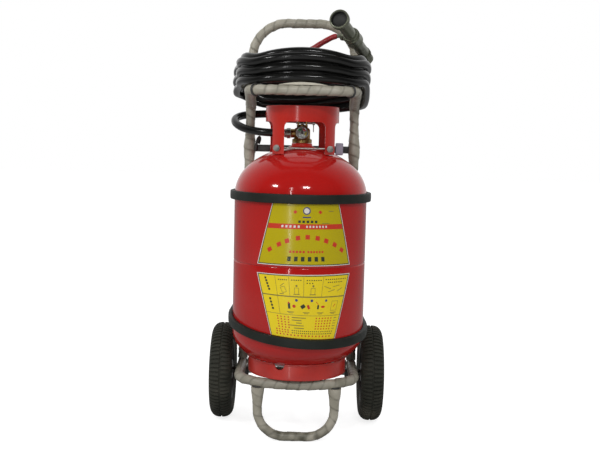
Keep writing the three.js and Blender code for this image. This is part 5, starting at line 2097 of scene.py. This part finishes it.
@dataclass
class Ink:
    """Everything printed on one label in one colour, as thin raised marks."""

    sheet: LabelSheet
    name: str
    finish: Finish
    low: float = 1.22
    high: float = 1.27
    points: list[Vector] = field(default_factory=list)
    faces: list[tuple[int, ...]] = field(default_factory=list)

    def outline(
        self, across: float, up: float, corners: Sequence[tuple[float, float]], tilt: float = 0,
    ) -> None:
        """Adds a flat mark.

        Args:
            across: its middle across the label, from -1 to 1.
            up: its middle up the label, from 0 to 1.
            corners: its outline round that middle, in millimetres.
            tilt: its turn to the left, in degrees.
        """
        wide, tall = self.sheet.span(up)
        level, steep = cos(radians(tilt)), sin(radians(tilt))
        start, count = len(self.points), len(corners)
        for lift in (self.low, self.high):
            for x, y in corners:
                place = across + (x * level - y * steep) / wide, up + (x * steep + y * level) / tall
                self.points.append(self.sheet.place(*place, lift))
        self.faces.append(tuple(start + index for index in reversed(range(count))))
        self.faces.append(tuple(start + count + index for index in range(count)))
        for index in range(count):
            beside = (index + 1) % count
            self.faces.append(
                (start + index, start + beside, start + count + beside, start + count + index)
            )

    def bar(self, across: float, up: float, width: float, height: float, tilt: float = 0) -> None:
        """Adds a rectangle, cut into short lengths so that it follows the bend."""
        pieces = max(1, round(width / 5))
        step = width / pieces
        wide, tall = self.sheet.span(up)
        level, steep = cos(radians(tilt)), sin(radians(tilt))
        for index in range(pieces):
            middle = -width / 2 + (index + 0.5) * step
            half, rise = step / 2, height / 2
            corners = [(-half, -rise), (half, -rise), (half, rise), (-half, rise)]
            self.outline(across + middle * level / wide, up + middle * steep / tall, corners, tilt)

    def row(self, start: float, stop: float, up: float, count: int, width: float, height: float) -> None:
        """Adds a row of equal bars between two places across the label."""
        for index in range(count):
            across = start + (stop - start) * (index / (count - 1) if count > 1 else 0.5)
            self.bar(across, up, width, height)

    def disc(self, across: float, up: float, radius: float, squash: float = 1.0) -> None:
        """Adds a round mark."""
        corners = []
        for index in range(14):
            turn = 2 * pi * index / 14
            corners.append((radius * cos(turn), radius * squash * sin(turn)))
        self.outline(across, up, corners)

    def frame(
        self, across: float, up: float, width: float, height: float, line: float = 0.7, tilt: float = 0,
    ) -> None:
        """Adds an empty box drawn with lines."""
        wide, tall = self.sheet.span(up)
        level, steep = cos(radians(tilt)), sin(radians(tilt))
        for x, y, long, high in (
            (0, height / 2, width, line), (0, -height / 2, width, line),
            (width / 2, 0, line, height), (-width / 2, 0, line, height),
        ):
            aside, above = (x * level - y * steep) / wide, (x * steep + y * level) / tall
            self.bar(across + aside, up + above, long, high, tilt)

    def build(self) -> None:
        """Makes the marks one piece."""
        obj = mesh_piece(f"{self.sheet.name}_{self.name}", self.points, self.faces, smooth=False)
        dress(obj, self.finish, "label_film", smooth=None)


@dataclass
class Labels:
    """The two labels, printed with plain shapes."""

    band_edge: float = 10.3

    def build(self) -> None:
        """Makes both labels."""
        upper = LabelSheet("upper", 41.8, 28.4, lambda x, y: 391, Bands.upper_level(0, 0) - self.band_edge)
        lower = LabelSheet("lower", 27.3, 42, lambda x, y: Bands.lower_level(x, y) + self.band_edge, 373)
        for sheet, finish in ((upper, Finishes.LABEL_UPPER), (lower, Finishes.LABEL_LOWER)):
            base = sheet.sheet(f"{sheet.name}_label_paper", 0, 0.5, 1.1)
            dress(base, Finishes.PAPER, "label_film", f"{sheet.name}_label")
            border = sheet.sheet(f"{sheet.name}_label_border", 1.6, 1.05, 1.16)
            dress(border, Finishes.INK_BLACK, "label_film")
            ground = sheet.sheet(f"{sheet.name}_label_ground", 3.4, 1.1, 1.22)
            dress(ground, finish, "label_film")
        self.print_upper(upper)
        self.print_lower(lower)

    @staticmethod
    def inks(sheet: LabelSheet) -> list[Ink]:
        """The red, black, blue and olive inks of one label."""
        finishes = Finishes.INK_RED, Finishes.INK_BLACK, Finishes.INK_BLUE, Finishes.INK_OLIVE
        return [Ink(sheet, finish.name.removeprefix("ink_"), finish) for finish in finishes]

    @staticmethod
    def print_upper(sheet: LabelSheet) -> None:
        """Prints the upper label: an emblem, a red stripe, an arc of marks and rows of bars."""
        red, black, blue, olive = Labels.inks(sheet)
        pale = Ink(sheet, "pale", Finishes.PAPER, 1.27, 1.31)
        blue.disc(0.01, 0.895, 8)
        pale.disc(0.01, 0.895, 5.6)
        blue.bar(0.01, 0.79, 17, 2.4)
        for across in (-0.30, 0.38):
            red.bar(across, 0.875, 6, 6, 45)
        olive.bar(0.7, 0.89, 11, 1.6)
        black.row(-0.17, 0.25, 0.72, 5, 5.2, 5)
        olive.bar(0.5, 0.695, 16, 1.3)
        red.bar(0, 0.64, 2 * sheet.span(0.64)[0] - 7.5, 10.5)
        pale.row(-0.58, -0.18, 0.64, 5, 4.2, 4.8)
        pale.row(0.02, 0.5, 0.64, 7, 3.4, 4.4)
        for across, up, tilt in (
            (-0.78, 0.255, 36), (-0.59, 0.345, 27), (-0.42, 0.405, 17), (-0.18, 0.455, 7), (0.04, 0.472, 0),
            (0.27, 0.455, -8), (0.47, 0.41, -19), (0.67, 0.345, -29), (0.83, 0.255, -38),
        ):
            red.bar(across, up, 9, 9.5, tilt)
        red.row(-0.32, -0.04, 0.232, 5, 4.4, 4.6)
        red.row(0.06, 0.36, 0.232, 6, 3.6, 4.4)
        black.row(-0.33, 0.36, 0.115, 6, 7.2, 9.6)
        for ink in (red, black, blue, olive, pale):
            ink.build()

    @staticmethod
    def print_lower(sheet: LabelSheet) -> None:
        """Prints the lower label: a ruled table with plain drawings, signs and rows of bars."""
        red, black, blue, olive = Labels.inks(sheet)
        tall = sheet.high - sheet.low(0, -sheet.radius)
        for up, line in ((0.655, 2.4), (0.365, 0.9)):
            olive.bar(0, up, 2 * sheet.radius * sheet.half_angle(up) - 8, line)
        for across, low, high in (
            (-0.6, 0.365, 0.965), (-0.32, 0.66, 0.965), (-0.02, 0.66, 0.965), (0.38, 0.66, 0.965),
        ):
            for index in range(8):
                up = low + (high - low) * (index + 0.5) / 8
                olive.bar(across, up, 0.8, (high - low) * tall / 8 + 0.2)
        for across, up in (
            (-0.815, 0.925), (-0.805, 0.88), (-0.795, 0.835), (-0.785, 0.79), (-0.775, 0.745),
            (-0.79, 0.59), (-0.785, 0.54), (-0.775, 0.49), (-0.765, 0.44),
        ):
            black.bar(across, up, 4.4, 4.6, -8)
        for start, stop, up, count in (
            (-0.53, -0.37, 0.915, 5), (-0.26, -0.08, 0.915, 5), (0.05, 0.33, 0.915, 7),
            (0.05, 0.16, 0.87, 3),
            (0.44, 0.9, 0.925, 11), (0.5, 0.82, 0.88, 8),
        ):
            black.row(start, stop, up, count, 2.4, 2.1)
        olive.frame(-0.45, 0.76, 9, 12, 0.9, 20)
        olive.bar(-0.47, 0.835, 11, 1.2, 35)
        olive.bar(-0.5, 0.69, 9, 1.6)
        for across in (-0.17, 0.18):
            olive.frame(across, 0.745, 8.5, 13, 0.9)
            olive.disc(across, 0.826, 2.2)
            olive.bar(across, 0.693, 13, 1.5)
        for across, up, long, tilt in (
            (0.5, 0.8, 17, -20), (0.6, 0.75, 15, 16), (0.7, 0.82, 16, 10), (0.8, 0.76, 13, 30),
        ):
            olive.bar(across, up, long, 1.2, tilt)
        black.bar(-0.355, 0.505, 5, 12)
        red.disc(-0.36, 0.556, 2)
        red.disc(-0.24, 0.505, 3.4)
        black.bar(-0.03, 0.505, 9, 7.5, 35)
        red.bar(0.1, 0.5, 5, 9, 20)
        black.bar(0.33, 0.5, 3.6, 8.5)
        red.disc(0.45, 0.505, 4.4, 0.55)
        red.bar(0.3, 0.56, 9, 1.1, -50)
        red.bar(0.74, 0.52, 6.5, 1.5, 60)
        olive.frame(0.74, 0.515, 14, 19, 0.7)
        for across, radius in ((-0.18, 2.9), (0.17, 2.9), (0.51, 2.5)):
            blue.disc(across, 0.6, radius)
        for across in (-0.33, 0.05, 0.4, 0.74):
            olive.bar(across, 0.412, 14, 1.4)
            olive.bar(across, 0.395, 9, 1.1)
        for line in range(5):
            up = 0.325 - 0.041 * line
            red.row(-0.68, -0.4, up, 4, 2.8, 2.7)
            red.row(0.32, 0.72, up, 6, 2.6, 2.6)
            olive.bar(-0.13 - 0.06 * (line % 2), up, 29 - 9 * (line % 3), 1.8)
            olive.bar(0.84, up, 6.5, 1.3)
        for up in (0.118, 0.083):
            red.row(-0.76, -0.44, up, 5, 2.7, 2.6)
            black.row(-0.32, 0.82, up, 21, 2.1, 2.0)
        red.row(-0.78, 0.78, 0.045, 16, 2.8, 3.0)
        for ink in (red, black, blue, olive):
            ink.build()


# --- ties and pad


@dataclass
class RackDetails:
    """The pad under the hose and the black ties that lash the coil to the rack."""

    rail_y: float = -122
    rail_z: float = 751
    corner_x: float = 113
    corner_bend: float = 50
    tie_radius: float = 12.0
    tie_wire: float = 2.0

    def build(self) -> None:
        """Makes the pad and the ties."""
        rings = []
        for index in range(33):
            across = -50 + 100 * index / 32
            rise = max(0.04, 1 - (across / 50) ** 2)
            low, high = 761.6, 761.9 + 5.4 * rise
            front, back = -122 - 6.9 * rise, -122 + 6.9 * rise
            ring = []
            for y, z in ((front, low), (front, low + (high - low) * 0.6), (front + 1.4 * rise, high),
                         (back - 1.4 * rise, high), (back, low + (high - low) * 0.6), (back, low)):
                ring.append(at(across, y, z))
            rings.append(ring)
        pad = skin("rest_pad_felt", rings)
        dress(pad, Finishes.FELT, "pad_felt", "hose_rest_pad", smooth=60)
        for side, sign in (("left", -1), ("right", 1)):
            self.tie(side, sign)

    def tie(self, side: str, sign: int) -> None:
        """Makes one tie: a black cord drawn tight round the rail where it turns back."""
        slant = radians(45)
        place = at(
            sign * (self.corner_x - self.corner_bend * (1 - cos(slant))),
            self.rail_y + self.corner_bend * (1 - sin(slant)), self.rail_z,
        )
        along = Vector((cos(slant), sign * sin(slant), 0))
        cord = ring_wire(f"{side}_rack_tie", place, along, self.tie_radius, self.tie_wire)
        dress(cord, Finishes.BLACK_STEEL, "black_steel")


# --- the whole


class Extinguisher:
    """The wheeled extinguisher, part by part."""

    def build(self) -> None:
        """Makes every piece; the nozzle comes before the hose, which carries it."""
        for maker in (
            TrolleyFrame(), RunningGear(), Bands(), Cylinder(), Labels(), Guard(), Valve(), Gauge(),
            Nozzle(),
            RackDetails(), Hose(),
        ):
            maker.build()


def as_list(corners: Iterable[Iterable[float]]) -> list[list[float]]:
    """Two corners as plain lists of numbers."""
    return [[float(value) for value in corner] for corner in corners]


def main() -> None:
    """Loads the frame, builds the object and its room, and writes both outlines' sizes."""
    logging.basicConfig(level=logging.INFO, format="%(name)s: %(message)s")
    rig.load()
    frame_box = as_list(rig.bounds())
    LAYOUT.read()
    Extinguisher().build()
    Studio().build()
    sizes = {"cad": frame_box, "visual": as_list(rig.bounds())}
    Path("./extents.json").write_text(json.dumps(sizes, indent=1), encoding="utf-8")


if __name__ == "__main__":
    main()
